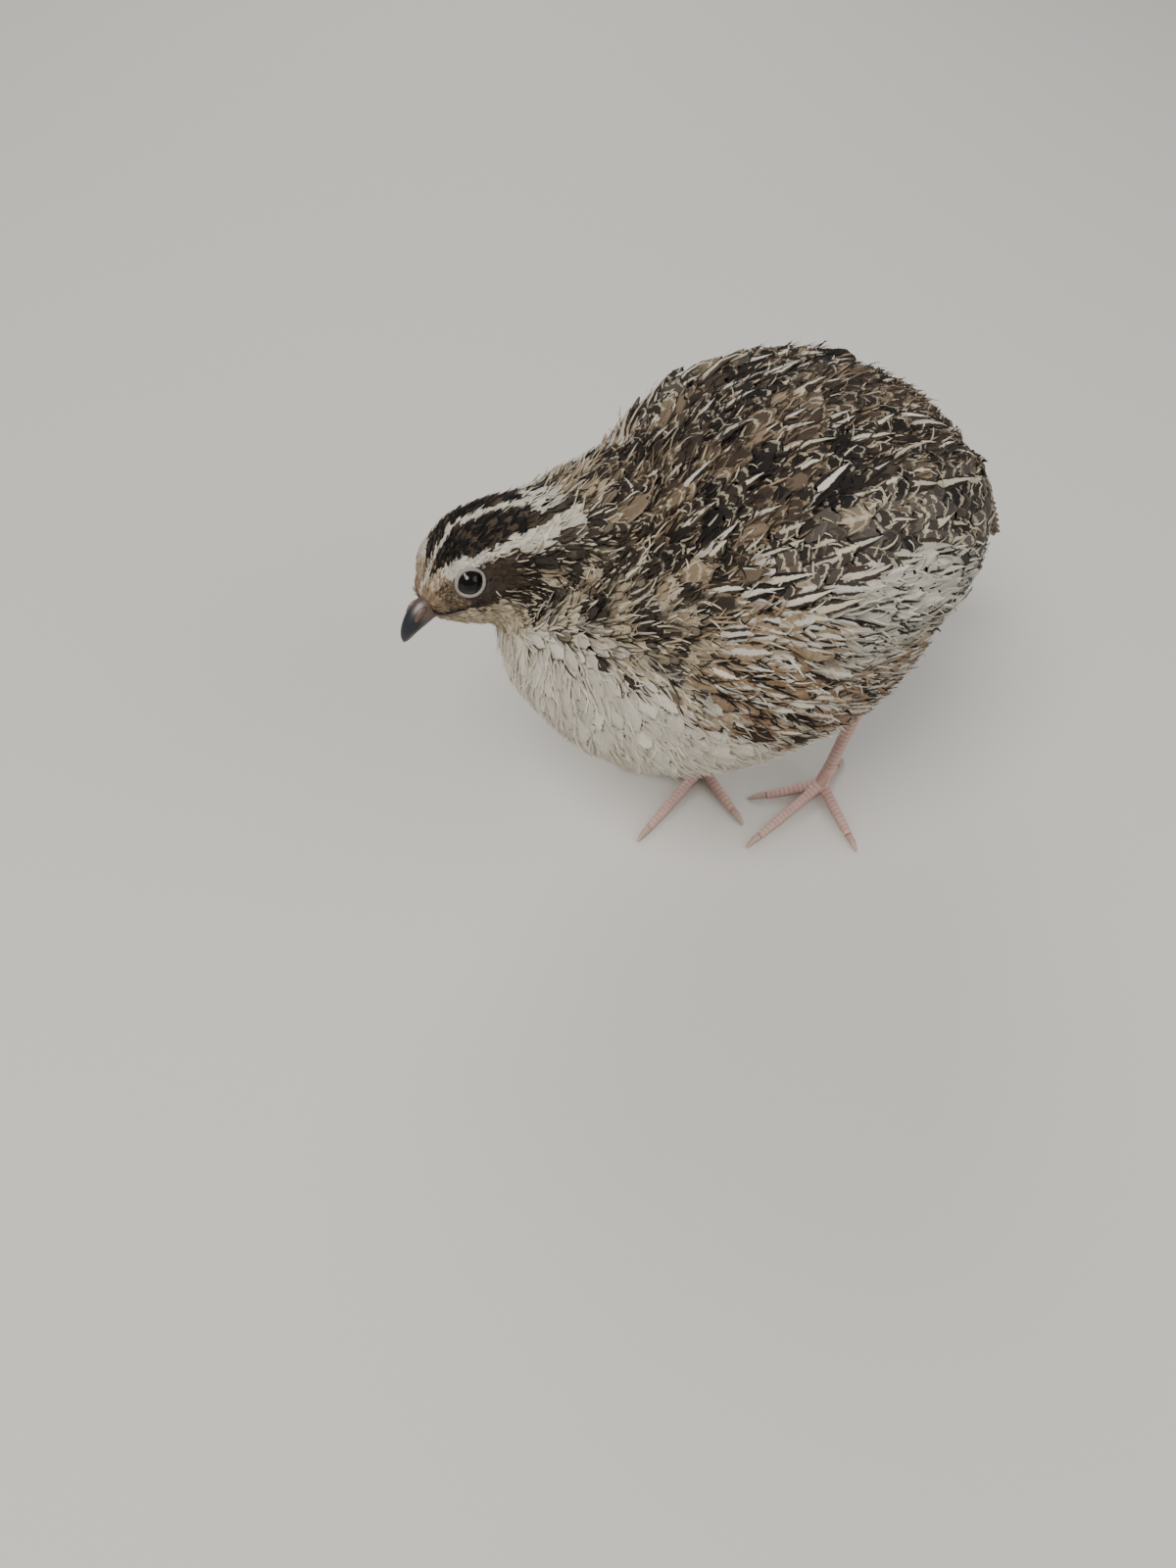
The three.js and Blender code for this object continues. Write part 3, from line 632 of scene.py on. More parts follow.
def feather_material():
    material, shader = new_material("feather_keratin")
    uv = add(material, "UVMap", uv_map="Vane").outputs["UV"]
    place = add(material, "TexCoord").outputs["Object"]
    split = add(material, "SeparateXYZ", {"Vector": uv})
    u, v = split.outputs["X"], split.outputs["Y"]
    found = {
        key: add(material, "Attribute", attribute_name=key)
        for key in ("ground", "mark", "pale", "fringe", "cut")
    }
    cut = add(material, "SeparateColor", {"Color": found["cut"].outputs["Color"]})
    streak, bars, edge = cut.outputs["Red"], cut.outputs["Green"], cut.outputs["Blue"]
    own = found["cut"].outputs["Alpha"]
    centred = add(material, "Math", {0: u, 1: 2.0, 2: -1.0}, operation="MULTIPLY_ADD")
    across = add(material, "Math", {0: centred}, operation="ABSOLUTE")
    # Clumps of barbs about 0.8 mm wide make the edge of each mark uneven
    clumps = add(material, "TexNoise", {"Vector": place, "Scale": 1 / (0.8 * MM), "Detail": 2.0})
    uneven = add(material, "Math", {0: clumps, 1: 0.5}, operation="SUBTRACT")
    rough_across = add(material, "Math", {0: uneven, 1: 0.5, 2: across}, operation="MULTIPLY_ADD")
    rough_across = rough_across
    # Shaft streak, narrowing to the tip
    wider = add(material, "Math", {0: v, 1: -0.35, 2: 1.2}, operation="MULTIPLY_ADD")
    reach = add(material, "Math", {0: streak, 1: wider}, operation="MULTIPLY")
    inside = add(material, "Math", {0: reach, 1: rough_across}, operation="SUBTRACT")
    on_streak = add(material, "MapRange", {"Value": inside, "From Min": -0.05, "From Max": 0.07})
    streaked = add(material, "Math", {0: streak, 1: 0.01}, operation="GREATER_THAN")
    on_streak = add(material, "Math", {0: on_streak, 1: streaked}, operation="MULTIPLY")
    # Bars across the vane, bent towards the tip at the shaft
    bend = add(material, "Math", {0: across, 1: 2.4, 2: own}, operation="MULTIPLY_ADD")
    phase = add(material, "Math", {0: v, 1: 24.0, 2: bend}, operation="MULTIPLY_ADD")
    phase = add(material, "Math", {0: uneven, 1: 5.0, 2: phase}, operation="MULTIPLY_ADD")
    wave = add(material, "Math", {0: phase}, operation="SINE")
    on_bar = add(material, "MapRange", {"Value": wave, "From Min": 0.62, "From Max": 0.88})
    on_bar = add(material, "Math", {0: on_bar, 1: bars}, operation="MULTIPLY")
    # Fringe along both edges and round the tip
    at_side = add(material, "MapRange", {"Value": rough_across, "From Min": 0.62, "From Max": 0.82})
    rough_v = add(material, "Math", {0: uneven, 1: 0.3, 2: v}, operation="MULTIPLY_ADD")
    at_tip = add(material, "MapRange", {"Value": rough_v, "From Min": 0.84, "From Max": 0.93})
    rim = add(material, "Math", {0: at_side, 1: at_tip}, operation="MAXIMUM")
    on_rim = add(material, "Math", {0: rim, 1: edge}, operation="MULTIPLY")
    colour = found["ground"].outputs["Color"]
    for share, over in ((on_bar, "mark"), (on_rim, "fringe"), (on_streak, "pale")):
        mixed = add(material, "Mix", {0: share, 6: colour, 7: found[over].outputs["Color"]},
                    data_type="RGBA")
        colour = mixed.outputs[2]
    # Barbs lie slanted off the shaft, drawn 0.35 mm apart, coarser than real so that they show
    slant = add(material, "Math", {0: across, 1: -22.0}, operation="MULTIPLY")
    barb = add(material, "Math", {0: v, 1: 150.0, 2: slant}, operation="MULTIPLY_ADD")
    barb = add(material, "Math", {0: uneven, 1: 14.0, 2: barb}, operation="MULTIPLY_ADD")
    ripple = add(material, "Math", {0: barb}, operation="SINE")
    # Painted shade: each feather darkens from the middle of its length down to 0.6 at the root, for the
    # shadow of the feathers over it; the barbs' ripple is added on top
    shade = add(material, "MapRange", {"Value": v, "From Min": 0.0, "From Max": 0.5,
                                                 "To Min": 0.6, "To Max": 1.0})
    shade = add(material, "Math", {0: ripple, 1: 0.07, 2: shade}, operation="MULTIPLY_ADD")
    shaded = add(material, "VectorMath", {0: colour, "Scale": shade}, operation="SCALE")
    bump = add(material, "Bump", {"Height": ripple, "Strength": 0.25, "Distance": 0.12 * MM})
    feed(material, shader, {"Base Color": shaded, "Normal": bump, "Roughness": 0.72,
                            "Specular IOR Level": 0.25})
    through = add(material, "BsdfTranslucent", {"Color": shaded})
    both = add(material, "MixShader", {0: LET_THROUGH, 1: shader, 2: through})
    feed(material, material.node_tree.nodes["Material Output"], {"Surface": both})
    return material


FEATHER = feather_material()


# Regions of the body, from angles round the trunk and the head and from places along them

CROWN_LINE = ([-26, -20, -13.5, -9, -5, 0, 6], [10.5, 7.8, 5.6, 3.6, 1.0, 0, 0])
BROW_LOW = ([-24, -19, -13, -9.5, -4, 2, 7], [4, 5, 9, 20, 20, 28, 31])
BROW_HIGH = ([-24, -17, -10, -4, 1, 4, 7], [34, 32, 34, 33, 46, 58, 74])
CREAM_EDGE = ([-63, -61, -58, -53, -45, -39, -31, -17, 5], [62, 68, 73, 74, 73, 69, 66, 57, 48])
WING_EDGE = ([-33, -23, -9, 14, 60], [50, 34, 37, 34, 12])
ROW_A = ([-30, -20, -9, -3, 20, 42], [40, 49, 57, 61, 62, 50])
ROW_B = ([-29, -16, -7, 20, 42], [62, 76, 74, 72, 66])


def table(x, pair):
    return np.interp(x, *pair)


def body_parts(points):
    """Places and shares that choose where each coat grows, one array per name."""
    h = in_head(points)
    x = points[:, 0] / MM
    z = points[:, 2] / MM
    turn = turn_of(points)
    off_line = h[:, 1] - table(h[:, 0], CROWN_LINE)
    angle = np.degrees(np.arctan2(h[:, 2], np.abs(off_line)))
    away = np.hypot(h[:, 1], h[:, 2])
    face = (h[:, 0] > -12.5) & (away < 20.5) & (h[:, 2] > -17)
    nape = (h[:, 0] > -25) & (angle > 3) & (away < 25)
    head = face | nape
    above = z - table(x, CREAM_EDGE)
    return {"h": h, "x": x, "z": z, "turn": turn, "angle": angle, "off_line": off_line, "away": away,
            "head": head, "above": above, "wing_edge": table(x, WING_EDGE)}


def region_of(points):
    """One name per place: head, neck, breast, belly, flank, covert, back or rump."""
    p = body_parts(points)
    x, turn = p["x"], p["turn"]
    shaky = np.array([noise.noise(Vector(q) / (3 * MM)) for q in points])
    on_wing = near(points, WINGS, 3.4 * MM) & (x > -24)
    region = np.full(len(points), "flank", dtype="<U8")
    region[(turn < np.interp(x, [0, 30, 50], [-20, -48, -66]) + 4 * shaky) & (x > -25)] = "belly"
    region[(turn > p["wing_edge"] + 4 * shaky) & on_wing] = "covert"
    upper = turn > np.interp(x, [-55, -35, -24, 0, 30, 45], [20, 40, 56, 58, 52, 60]) + 5 * shaky
    region[upper] = "back"
    region[(x > 38 + 3 * shaky) & (p["z"] > np.interp(x, [38, 56], [66, 60])) & (region != "covert")] = "rump"
    region[(p["z"] < 37 + 3 * shaky) & (x > -8)] = "belly"
    neck_rear = np.interp(turn, [-20, 10, 40, 90], [-36, -38, -34, -40])
    region[(x < neck_rear + 3 * shaky) & (region != "belly")] = "neck"
    region[(p["above"] < 2.2 * shaky) & (x < 3)] = "breast"
    region[p["head"]] = "head"
    return region


def within(name):
    """A mask for one region, clear of the eyes, the mouth and the bill."""
    def mask(points):
        chosen = region_of(points) == name
        if name == "head":
            chosen &= clear_of_face(points)
        return chosen
    return mask


def clear_of_face(points):
    """False over the eyes and their lids, along the mouth and over the bill's root."""
    h = in_head(points)
    on_mouth = (np.abs(h[:, 2] - mouth_height(h[:, 0])) < 0.4) & (h[:, 0] > 4.6)
    return (from_eye(points) > 3.0) & (h[:, 0] < 11.2) & ~on_mouth


def patches_of(points, size, shift=0.0):
    """Uneven patches of the given size in millimetres, from 0 to 1."""
    drift = Vector((shift, 2 * shift, 0))
    values = [noise.noise(Vector(p) / (size * MM) + drift) for p in points]
    return np.clip(0.5 + 0.85 * np.array(values), 0, 1)


# Looks of each region

def head_look(points, rng):
    """Cream stripe and brow, sooty crown, brown ear patch, mottled cheek and pale throat."""
    p = body_parts(points)
    f, angle, away, up = p["h"][:, 0], p["angle"], p["away"], p["h"][:, 2]
    many = len(points)
    chance = rng.random(many)
    brow_low, brow_high = table(f, BROW_LOW), table(f, BROW_HIGH)
    stripe = (np.abs(p["off_line"]) < 0.75 - 0.02 * f) & (f > -24) & (up > 0)
    brow = (angle > brow_low) & (angle < brow_high)
    crown = (angle >= brow_high) & ~stripe
    rear_spot = crown & (f < -18) & (angle > 50) & (angle < 74)
    forehead = crown & (f > 3.5)
    lores = (f > 3.2) & (angle > -25) & (angle <= brow_low)
    ear = (f <= 3.2) & (angle > -32) & (angle <= brow_low) & (f > -12.5)
    ear_rim = ear & ((f < -8.2) | (angle > brow_low - 5)) | ((angle <= -25) & (angle > -42) & (f < -1))
    over_mouth = up - mouth_height(f)
    gape = (over_mouth > -0.2) & (over_mouth < 1.0) & (f > 1) & (angle < -10)
    jaw = (over_mouth <= -0.2) & (angle < np.where(f > 4, -20, -37)) & (f > -3)
    above_bill = (f > 7.5) & (angle > -12) & ~stripe
    cheek = (angle <= -25) & ~jaw & (away < 18)
    marks = [
        # where, colour, share with sooty tips, half width of the streak
        (above_bill, blend(BUFF, RUFOUS, chance * 0.8), 0.2, 0),
        (stripe, blend(CREAM, STRAW, chance * 0.5), 0.05, 0),
        (rear_spot, blend(CREAM, CHALK, chance), 0.02, 0),
        (forehead, blend(SEPIA, BUFF, chance > 0.4), 0.4, 0.25),
        (crown, blend(SOOT, UMBER, (chance > 0.62) * 0.8), 0.6, 0),
        (brow & (f > 4), blend(BUFF, STRAW, 0.9 * chance), 0.25, 0),
        (brow, blend(CREAM, STRAW, chance * 0.45), 0.09, 0),
        (jaw, blend(STRAW, BUFF, 0.7 * chance), 0.08, 0),
        (gape, blend(SEPIA, UMBER, chance * 0.6), 0.6, 0),
        (ear_rim, blend(SOOT, UMBER, chance * 0.7), 0.55, 0.25),
        (lores, blend(UMBER, BUFF, 0.1 + 0.5 * chance), 0.3, 0.1),
        (ear, blend(UMBER, SEPIA, 0.1 + 0.35 * chance), 0.1, 0),
        (cheek, blend(blend(UMBER, BUFF, chance), CHALK, (rng.random(many) > 0.8) * 0.8), 0.5, 0.3),
    ]
    where, colours, sooty, streaks = (list(column) for column in zip(*marks))
    throat = blend(CREAM, CHALK, chance)
    ground = np.select([w[:, None] for w in where], colours, throat)
    spotted = rng.random(many) < np.select(where, sooty, 0.12)
    fringe = np.where(spotted[:, None], np.array(SOOT), ground * 0.8 + np.array(BUFF) * 0.2)
    streak = np.select(where, streaks, 0) * (rng.random(many) > 0.45)
    return looks_of(many, ground, SEPIA, STRAW, fringe, streak, 0.0, np.where(spotted, 0.9, 0.4), rng)


def neck_look(points, rng):
    """Buff and sepia mottle with cream lancets, and a white collar with sooty spots under the ear."""
    p = body_parts(points)
    many = len(points)
    chance = rng.random(many)
    tone = patches_of(points, 4.5)
    upper = smoothstep(p["turn"], 35, 75)
    low = smoothstep(-p["above"], -9, -1)
    collar = (p["away"] < 25) & (p["h"][:, 0] > -3.5) & (p["h"][:, 2] < -12)
    dark = np.clip(2.6 * tone - 1.05 + 0.6 * upper, 0, 0.95)
    ground = blend(blend(STRAW, BUFF, 0.3 + 0.7 * chance), SEPIA, dark)
    ground = blend(ground, CREAM, np.clip(low * 1.1, 0, 1) * (chance > 0.45))
    ground = blend(ground, CREAM, collar * 0.9)
    dark_tip = rng.random(many) < np.where(collar, 0.45, 0.58 - 0.2 * low)
    fringe = blend(blend(BUFF, CREAM, chance), SOOT, dark_tip)
    streak = np.where(rng.random(many) > 0.62, 0.24, 0.0)
    return looks_of(many, ground, SEPIA, STRAW, fringe, streak, 0.25 * (1 - low), 0.85, rng)


def breast_look(points, rng):
    """Plain cream, with a thin dark tip here and there towards the neck and flanks."""
    p = body_parts(points)
    many = len(points)
    high = smoothstep(p["above"], -14, 0)
    marked = rng.random(many) < 0.32 * high ** 2
    ground = blend(CREAM, BUFF, 0.02 + 0.22 * high * rng.random(many))
    fringe = blend(CREAM, SEPIA, marked)
    return looks_of(many, ground, UMBER, CREAM, fringe, np.where(marked, 0.5, 0.0), 0.0,
                    np.where(marked, 0.9, 0.3), rng)


def back_look(points, rng):
    """Sooty and brown patches with thin cream bars and buff rims; the streaks lie over them."""
    many = len(points)
    chance = rng.random(many)
    tone = np.clip(0.7 * patches_of(points, 6, 3.0) + 0.5 * chance - 0.1, 0, 1)
    ground = blend(SOOT, UMBER, np.clip(1.9 * tone - 0.35, 0, 1))
    ground = blend(ground, BUFF, np.clip(2.4 * tone - 1.5, 0, 0.6))
    p = body_parts(points)
    off_row = np.minimum(np.abs(p["turn"] - table(p["x"], ROW_A)), np.abs(p["turn"] - table(p["x"], ROW_B)))
    ground = blend(ground, SOOT, 0.75 * (1 - smoothstep(off_row, 3, 7)))
    fringe = blend(BUFF, SEPIA, rng.random(many) > 0.3)
    streaked = rng.random(many) < 0.1
    return looks_of(many, ground, STRAW, STRAW, fringe, np.where(streaked, 0.26, 0.0),
                    0.55 * (rng.random(many) > 0.45), 0.6, rng)


def streak_look(points, rng):
    """The long lancets: cream shafts between sooty webs."""
    many = len(points)
    return looks_of(many, blend(SOOT, UMBER, rng.random(many)), STRAW, blend(STRAW, CREAM, rng.random(many)),
                    SEPIA, 0.38 + 0.1 * rng.random(many), 0.0, 0.3, rng)


def flank_look(points, rng):
    """Rufous buff with broad white shaft streaks and sooty edges; whiter over the wing and to the rear."""
    p = body_parts(points)
    many = len(points)
    chance = rng.random(many)
    white = smoothstep(p["x"], -22, -8) * smoothstep(p["turn"], 4, 16)
    buffy = smoothstep(p["turn"], 12, 24) * (1 - white)
    ground = blend(blend(RUFOUS, BUFF, chance), BUFF, buffy * 0.7)
    ground = blend(ground, CHALK, np.clip(white * 0.8 + 0.25 * (chance > 0.8), 0, 1))
    rear = smoothstep(p["x"], 8, 26)
    ground = blend(ground, UMBER, rear * 0.5 * (chance > 0.5))
    ground = blend(ground, SOOT, (rng.random(many) < 0.15 + 0.3 * rear) * 0.9)
    blotched = rng.random(many) < 0.75 - 0.1 * white - 0.25 * buffy
    fringe = blend(CHALK, SOOT, blotched)
    streak = np.where(rng.random(many) > 0.3, 0.22 + 0.16 * rng.random(many), 0.0)
    streak = streak * (1 + 0.5 * rear)
    return looks_of(many, ground, SEPIA, CREAM, fringe, streak, 0.3 * (1 - white), 0.95, rng)


def rump_look(points, rng):
    """Grey-brown and sooty with thin cream bars."""
    many = len(points)
    chance = rng.random(many)
    ground = blend(blend(SOOT, GREY_BROWN, chance * 0.85), BUFF, 0.25 * patches_of(points, 7, 5.0))
    streaked = rng.random(many) < 0.25
    return looks_of(many, ground, BUFF, STRAW, GREY_BROWN, np.where(streaked, 0.24, 0.0), 0.75, 0.5, rng)


def belly_look(points, rng):
    """Cream, and behind the legs chalky with scattered sooty blotches towards the flanks."""
    p = body_parts(points)
    many = len(points)
    rear = smoothstep(p["x"], 0, 26)
    blotched = rng.random(many) < 0.55 * rear * smoothstep(p["turn"], -60, -25)
    ground = blend(blend(CREAM, CHALK, rear), SEPIA, (rng.random(many) < 0.5) * blotched)
    fringe = blend(ground, SOOT, blotched)
    return looks_of(many, ground, UMBER, CREAM, fringe, np.where(blotched, 0.45, 0.0), 0.0,
                    np.where(blotched, 1.0, 0.3), rng)


def covert_look(points, rng):
    """Grey-brown wing coverts crossed by thin cream zigzags, with plainer and darker ones among them."""
    many = len(points)
    chance = rng.random(many)
    buffy = np.clip(1.4 * patches_of(points, 8, 7.0) - 0.8, 0, 0.5)
    ground = blend(blend(GREY_BROWN, SEPIA, chance * 0.8), BUFF, buffy)
    ground = blend(ground, SOOT, (rng.random(many) > 0.8) * 0.8)
    plain = patches_of(points, 9, 11.0) > 0.72
    return looks_of(many, ground, STRAW, STRAW, blend(GREY_BROWN, SEPIA, chance),
                    np.where(rng.random(many) > 0.85, 0.2, 0.0), np.where(plain, 0.1, 0.8), 0.45, rng)


def on_rows(points):
    """Where the rows of long cream lancets grow, on both sides of the back."""
    p = body_parts(points)
    near_row = (np.abs(p["turn"] - table(p["x"], ROW_A)) < 3.2) & (p["x"] > -30)
    near_row |= (np.abs(p["turn"] - table(p["x"], ROW_B)) < 3.2) & (p["x"] > -30)
    near_row |= (patches_of(points, 5, 2.0) > 0.72) & (p["turn"] > 30) & (p["x"] > -30)
    return near_row & (p["x"] < 44)


def head_size(small, large):
    """Grows from the bill's root to the nape, and shrinks at the eyes."""
    def size(points):
        sizes = [small, small * 1.2, large * 0.75, large]
        grown = np.interp(-in_head(points)[:, 0], [-11, -2, 12, 22], sizes)
        return grown * np.interp(from_eye(points), [3.1, 7], [0.5, 1])
    return size


def head_gap(points):
    """Closest on the face."""
    return np.interp(-in_head(points)[:, 0], [-11, 22], [0.55, 1.25])


def covert_size(small, large):
    """Wing feathers grow longer towards the rear."""
    return lambda points: np.interp(points[:, 0] / MM, [-22, 50], [small, large])


def wisp_look(look):
    """Single barbs in the colours of the feathers round them, some as pale or as dark as their marks."""
    def barbs(points, rng):
        looks = look(points, rng)
        kind = rng.random(len(points))
        marked = (kind < 0.22) & (looks["cut"][:, 2] > 0.5)
        looks["ground"] = np.where(marked[:, None], looks["fringe"], looks["ground"])
        pale = (kind > 0.8) & (looks["cut"][:, 0] > 0)
        looks["ground"] = np.where(pale[:, None], looks["pale"], looks["ground"])
        looks["cut"][:, :3] = 0
        return looks
    return barbs


def squiggle_look(points, rng):
    """Loose cream and buff barbs that lie curled over the dark back."""
    many = len(points)
    ground = blend(blend(STRAW, CREAM, rng.random(many)), BUFF, rng.random(many) * 0.9)
    return looks_of(many, ground, STRAW, STRAW, STRAW, 0.0, 0.0, 0.0, rng)


def on_dark(points):
    """Back, rump and wings."""
    return np.isin(region_of(points), ("back", "rump", "covert"))


def rump_length(points):
    """Longest over the tail's root."""
    return np.interp(points[:, 0] / MM, [38, 50, 58], [10.5, 12, 15])


def quill_look(points, rng):
    """Dark grey-brown flight feathers, notched with buff."""
    many = len(points)
    return looks_of(many, blend(SEPIA, GREY_BROWN, rng.random(many)), BUFF, STRAW, BUFF, 0.0, 0.6, 0.5, rng)


def on_wing_end(points):
    """The rear edge of each wing's flesh."""
    p = body_parts(points)
    return (p["x"] > 44) & (p["x"] < 54) & (p["z"] > 66) & (p["z"] < 86) & (np.abs(p["turn"]) < 30)


def on_knee(points):
    """Each thigh down to its bare shank."""
    x, z = points[:, 0] / MM, points[:, 2] / MM
    return (z > 29) & (z < 41) & (x > -9) & (x < 26) & near(points, THIGHS, 2.5 * MM)


def thigh_look(points, rng):
    """Streaked like the flank above, and cream towards the knee."""
    high, low = flank_look(points, rng), belly_look(points, rng)
    share = smoothstep(points[:, 2] / MM, 33, 43)
    return {key: blend(low[key], high[key], share) for key in high}


def thigh_length(points):
    """Longest behind the knee."""
    return np.interp(points[:, 0] / MM, [-6, 18, 34], [13, 21, 17])


def on_thigh(points):
    """Low on both sides, over the legs."""
    x, z = points[:, 0] / MM, points[:, 2] / MM
    across = np.abs(points[:, 1] - midline(points[:, 0])) / MM
    return (x > -6) & (x < 34) & (z > 37) & (z < 50) & (across > 7) & (across < 40)


# Gap, length, width and lift of each coat's feathers, all in millimetres

rng = np.random.default_rng(SEED)
coat("coat_head", within("head"), head_gap, head_size(2.3, 6.5), head_size(0.9, 2.3),
     head_size(0.35, 0.9), ROUND_TIP, head_look, rng, messy=6)
coat("coat_neck", within("neck"), 1.1, 6.5, 2.4, 1.5, ROUND_TIP, neck_look, rng, messy=9)
coat("coat_breast", within("breast"), 1.7, 9, 3.8, 1.3, LOOSE_TIP, breast_look, rng, ragged=0.2)
coat("coat_belly", within("belly"), 1.8, 12, 4.4, 1.8, LOOSE_TIP, belly_look, rng, ragged=0.2)
coat("coat_flanks", within("flank"), 1.6, 12, 4.0, 1.8, ROUND_TIP, flank_look, rng)
coat("coat_back", within("back"), 1.5, 10, 4.2, 2.0, ROUND_TIP, back_look, rng, messy=14)
coat("coat_rump", within("rump"), 1.7, rump_length, 4.6, 2.0, ROUND_TIP, rump_look, rng,
     messy=9, hang=0.35)
coat("coat_coverts", within("covert"), 1.9, covert_size(9, 14), covert_size(4.6, 6.4), 1.8,
     ROUND_TIP, covert_look, rng, messy=6)
coat("coat_thighs", on_thigh, 2.8, thigh_length, 4.4, 1.6, LOOSE_TIP, thigh_look, rng,
     messy=9, ragged=0.2, hang=0.8)
coat("coat_knees", on_knee, 1.2, 4.2, 2.2, 0.7, LOOSE_TIP, thigh_look, rng,
     messy=12, ragged=0.2, shown=0)
coat("coat_quills", on_wing_end, 3.0, 14, 4.6, 1.0, QUILL_TIP, quill_look, rng, hang=0.7, shown=0)
coat("coat_lancets", on_rows, 3.7, 14, 3.0, 2.5, POINTED_TIP, streak_look, rng, messy=7, curl=0.3)

# Single barbs between the feathers: where, gap, length, width, lift and look
WISPS = {
    "head": (0.75, head_size(2, 5), 0.3, head_size(0.45, 1.1), head_look),
    "neck": (0.7, 6, 0.4, 1.9, neck_look),
    "breast": (0.8, 7, 0.42, 1.6, breast_look),
    "belly": (1.0, 8, 0.5, 2.1, belly_look),
    "flank": (0.9, 7, 0.45, 2.1, flank_look),
    "back": (0.85, 6, 0.4, 2.3, back_look),
}
for place, (gap, length, width, lift, look) in WISPS.items():
    name = "wisps_flanks" if place == "flank" else "wisps_" + place
    coat(name, within(place), gap, length, width, lift, HAIR_TIP, wisp_look(look), rng,
         messy=14, droop=0.0, columns=HAIR, curl=0.5)
coat("wisps_pale", on_dark, 2.7, 5, 0.4, 2.4, HAIR_TIP, squiggle_look, rng,
     messy=34, droop=0.0, columns=HAIR, curl=1.6)


# Bare skin under the coat: matt, coloured like the down over it but darker, as painted shade in the gaps
# between feathers

def skin_material():
    """Down in tufts about 1.2 mm wide, at 0.3 to 0.8 of the feathers' ground colour: painted shade in the
    gaps.
    """
    # Painted shade: the blotches run from 0.3 to 0.8 of the ground colour, so the skin seen between feathers
    # reads dark
    material, shader, tufts = blotched("downy_skin", 1.2, 3.0, 0.3, 0.8, own="ground")
    bump = add(material, "Bump", {"Height": tufts, "Strength": 0.6, "Distance": 0.4 * MM})
    feed(material, shader, {"Normal": bump, "Roughness": 0.9})
    return material


def colour_skin():
    """The skin takes each region's ground colour, so gaps between feathers show no seam."""
    points = points_of(skin.data)
    steady = np.random.default_rng(SEED)
    regions = region_of(points)
    colours = np.empty((len(points), 4))
    looks = {"head": head_look, "neck": neck_look, "breast": breast_look, "belly": belly_look,
             "flank": flank_look, "covert": covert_look, "back": back_look, "rump": rump_look}
    for name, look in looks.items():
        here = regions == name
        colours[here] = look(points[here], steady)["ground"]
    store_colour(skin.data, "ground", colours)


colour_skin()
put(skin, skin_material(), "plumage", *FLESH_NODES)


# Eyes: near-black glossy balls with a shallow cornea, each in a bare ring of lid

EYE_RADIUS = 3.7 * MM
CORNEA_RISE = 0.3 * MM
LID_OPENING = 2.72 * MM  # radius of the lid's middle
LID_THICKNESS = 0.42 * MM


def make_eye(side):
    line = Vector(eye_axis(side))
    bpy.ops.mesh.primitive_uv_sphere_add(segments=64, ring_count=40, radius=EYE_RADIUS)
    eye = bpy.context.object
    eye.name = "eyeball_" + side
    eye.rotation_euler = line.to_track_quat("Z", "Y").to_euler()
    eye.location = EYES[side]
    select_only(eye)
    bpy.ops.object.transform_apply(location=True, rotation=True, scale=True)
    points = points_of(eye.data)
    facing = unit(points - EYES[side]) @ np.array(line)
    cornea = smoothstep(facing, 0.78, 1.0)
    move_points(eye.data, points + np.array(line) * (CORNEA_RISE * cornea)[:, None])
    pupil = smoothstep(facing, 0.93, 0.95)
    store_colour(eye.data, "iris", blend(linear("#0D0907"), linear("#050404"), pupil))
    smoothed(eye)
    return eye


def eye_material():
    """Wet cornea over a dark brown iris."""
    material, shader = new_material("wet_cornea")
    iris = add(material, "Attribute", attribute_name="iris").outputs["Color"]
    feed(material, shader, {"Base Color": iris, "Roughness": 0.06, "Specular IOR Level": 0.3})
    return material


def loft(name, rings, closed=False):
    """A tube through rings of points: capped, or joined end to end where closed."""
    count, sides = rings.shape[:2]
    faces = []
    for i in range(count if closed else count - 1):
        for j in range(sides):
            k, m = (i + 1) % count, (j + 1) % sides
            faces.append((i * sides + j, i * sides + m, k * sides + m, k * sides + j))
    if not closed:
        faces.append(tuple(range(sides - 1, -1, -1)))
        faces.append(tuple((count - 1) * sides + j for j in range(sides)))
    mesh = bpy.data.meshes.new(name)
    mesh.from_pydata([tuple(p) for p in rings.reshape(-1, 3)], [], faces)
    mesh.update()
    piece = placed(name, mesh)
    smoothed(piece)
    return piece


def make_lids(side):
    """Upper and lower lid as one ring, drawn out a little at both corners and finely wrinkled."""
    line = eye_axis(side)
    ahead = unit(HEAD_FORWARD - line * (HEAD_FORWARD @ line))
    above = np.cross(line, ahead)
    above = above * np.sign(above @ HEAD_UP)
    turns = np.linspace(0, 2 * np.pi, 97)[:-1]
    rings = []
    for turn in turns:
        outward = ahead * math.cos(turn) + above * math.sin(turn)
        corner = abs(math.cos(turn)) ** 10
        radius = LID_OPENING * (1 + 0.07 * corner)
        depth = math.sqrt(EYE_RADIUS ** 2 - radius ** 2) + 0.12 * MM
        thick = LID_THICKNESS * (1 - 0.2 * corner + 0.07 * math.sin(31 * turn) + 0.05 * math.sin(47 * turn))
        centre = EYES[side] + line * depth + outward * radius
        around = np.linspace(0, 2 * np.pi, 15)[:-1]
        rings.append([
            centre + outward * thick * (1.1 if math.cos(a) > 0 else 0.8) * math.cos(a)
            + line * thick * 0.8 * math.sin(a) for a in around
        ])
    return loft("eyelids_" + side, np.array(rings), closed=True)


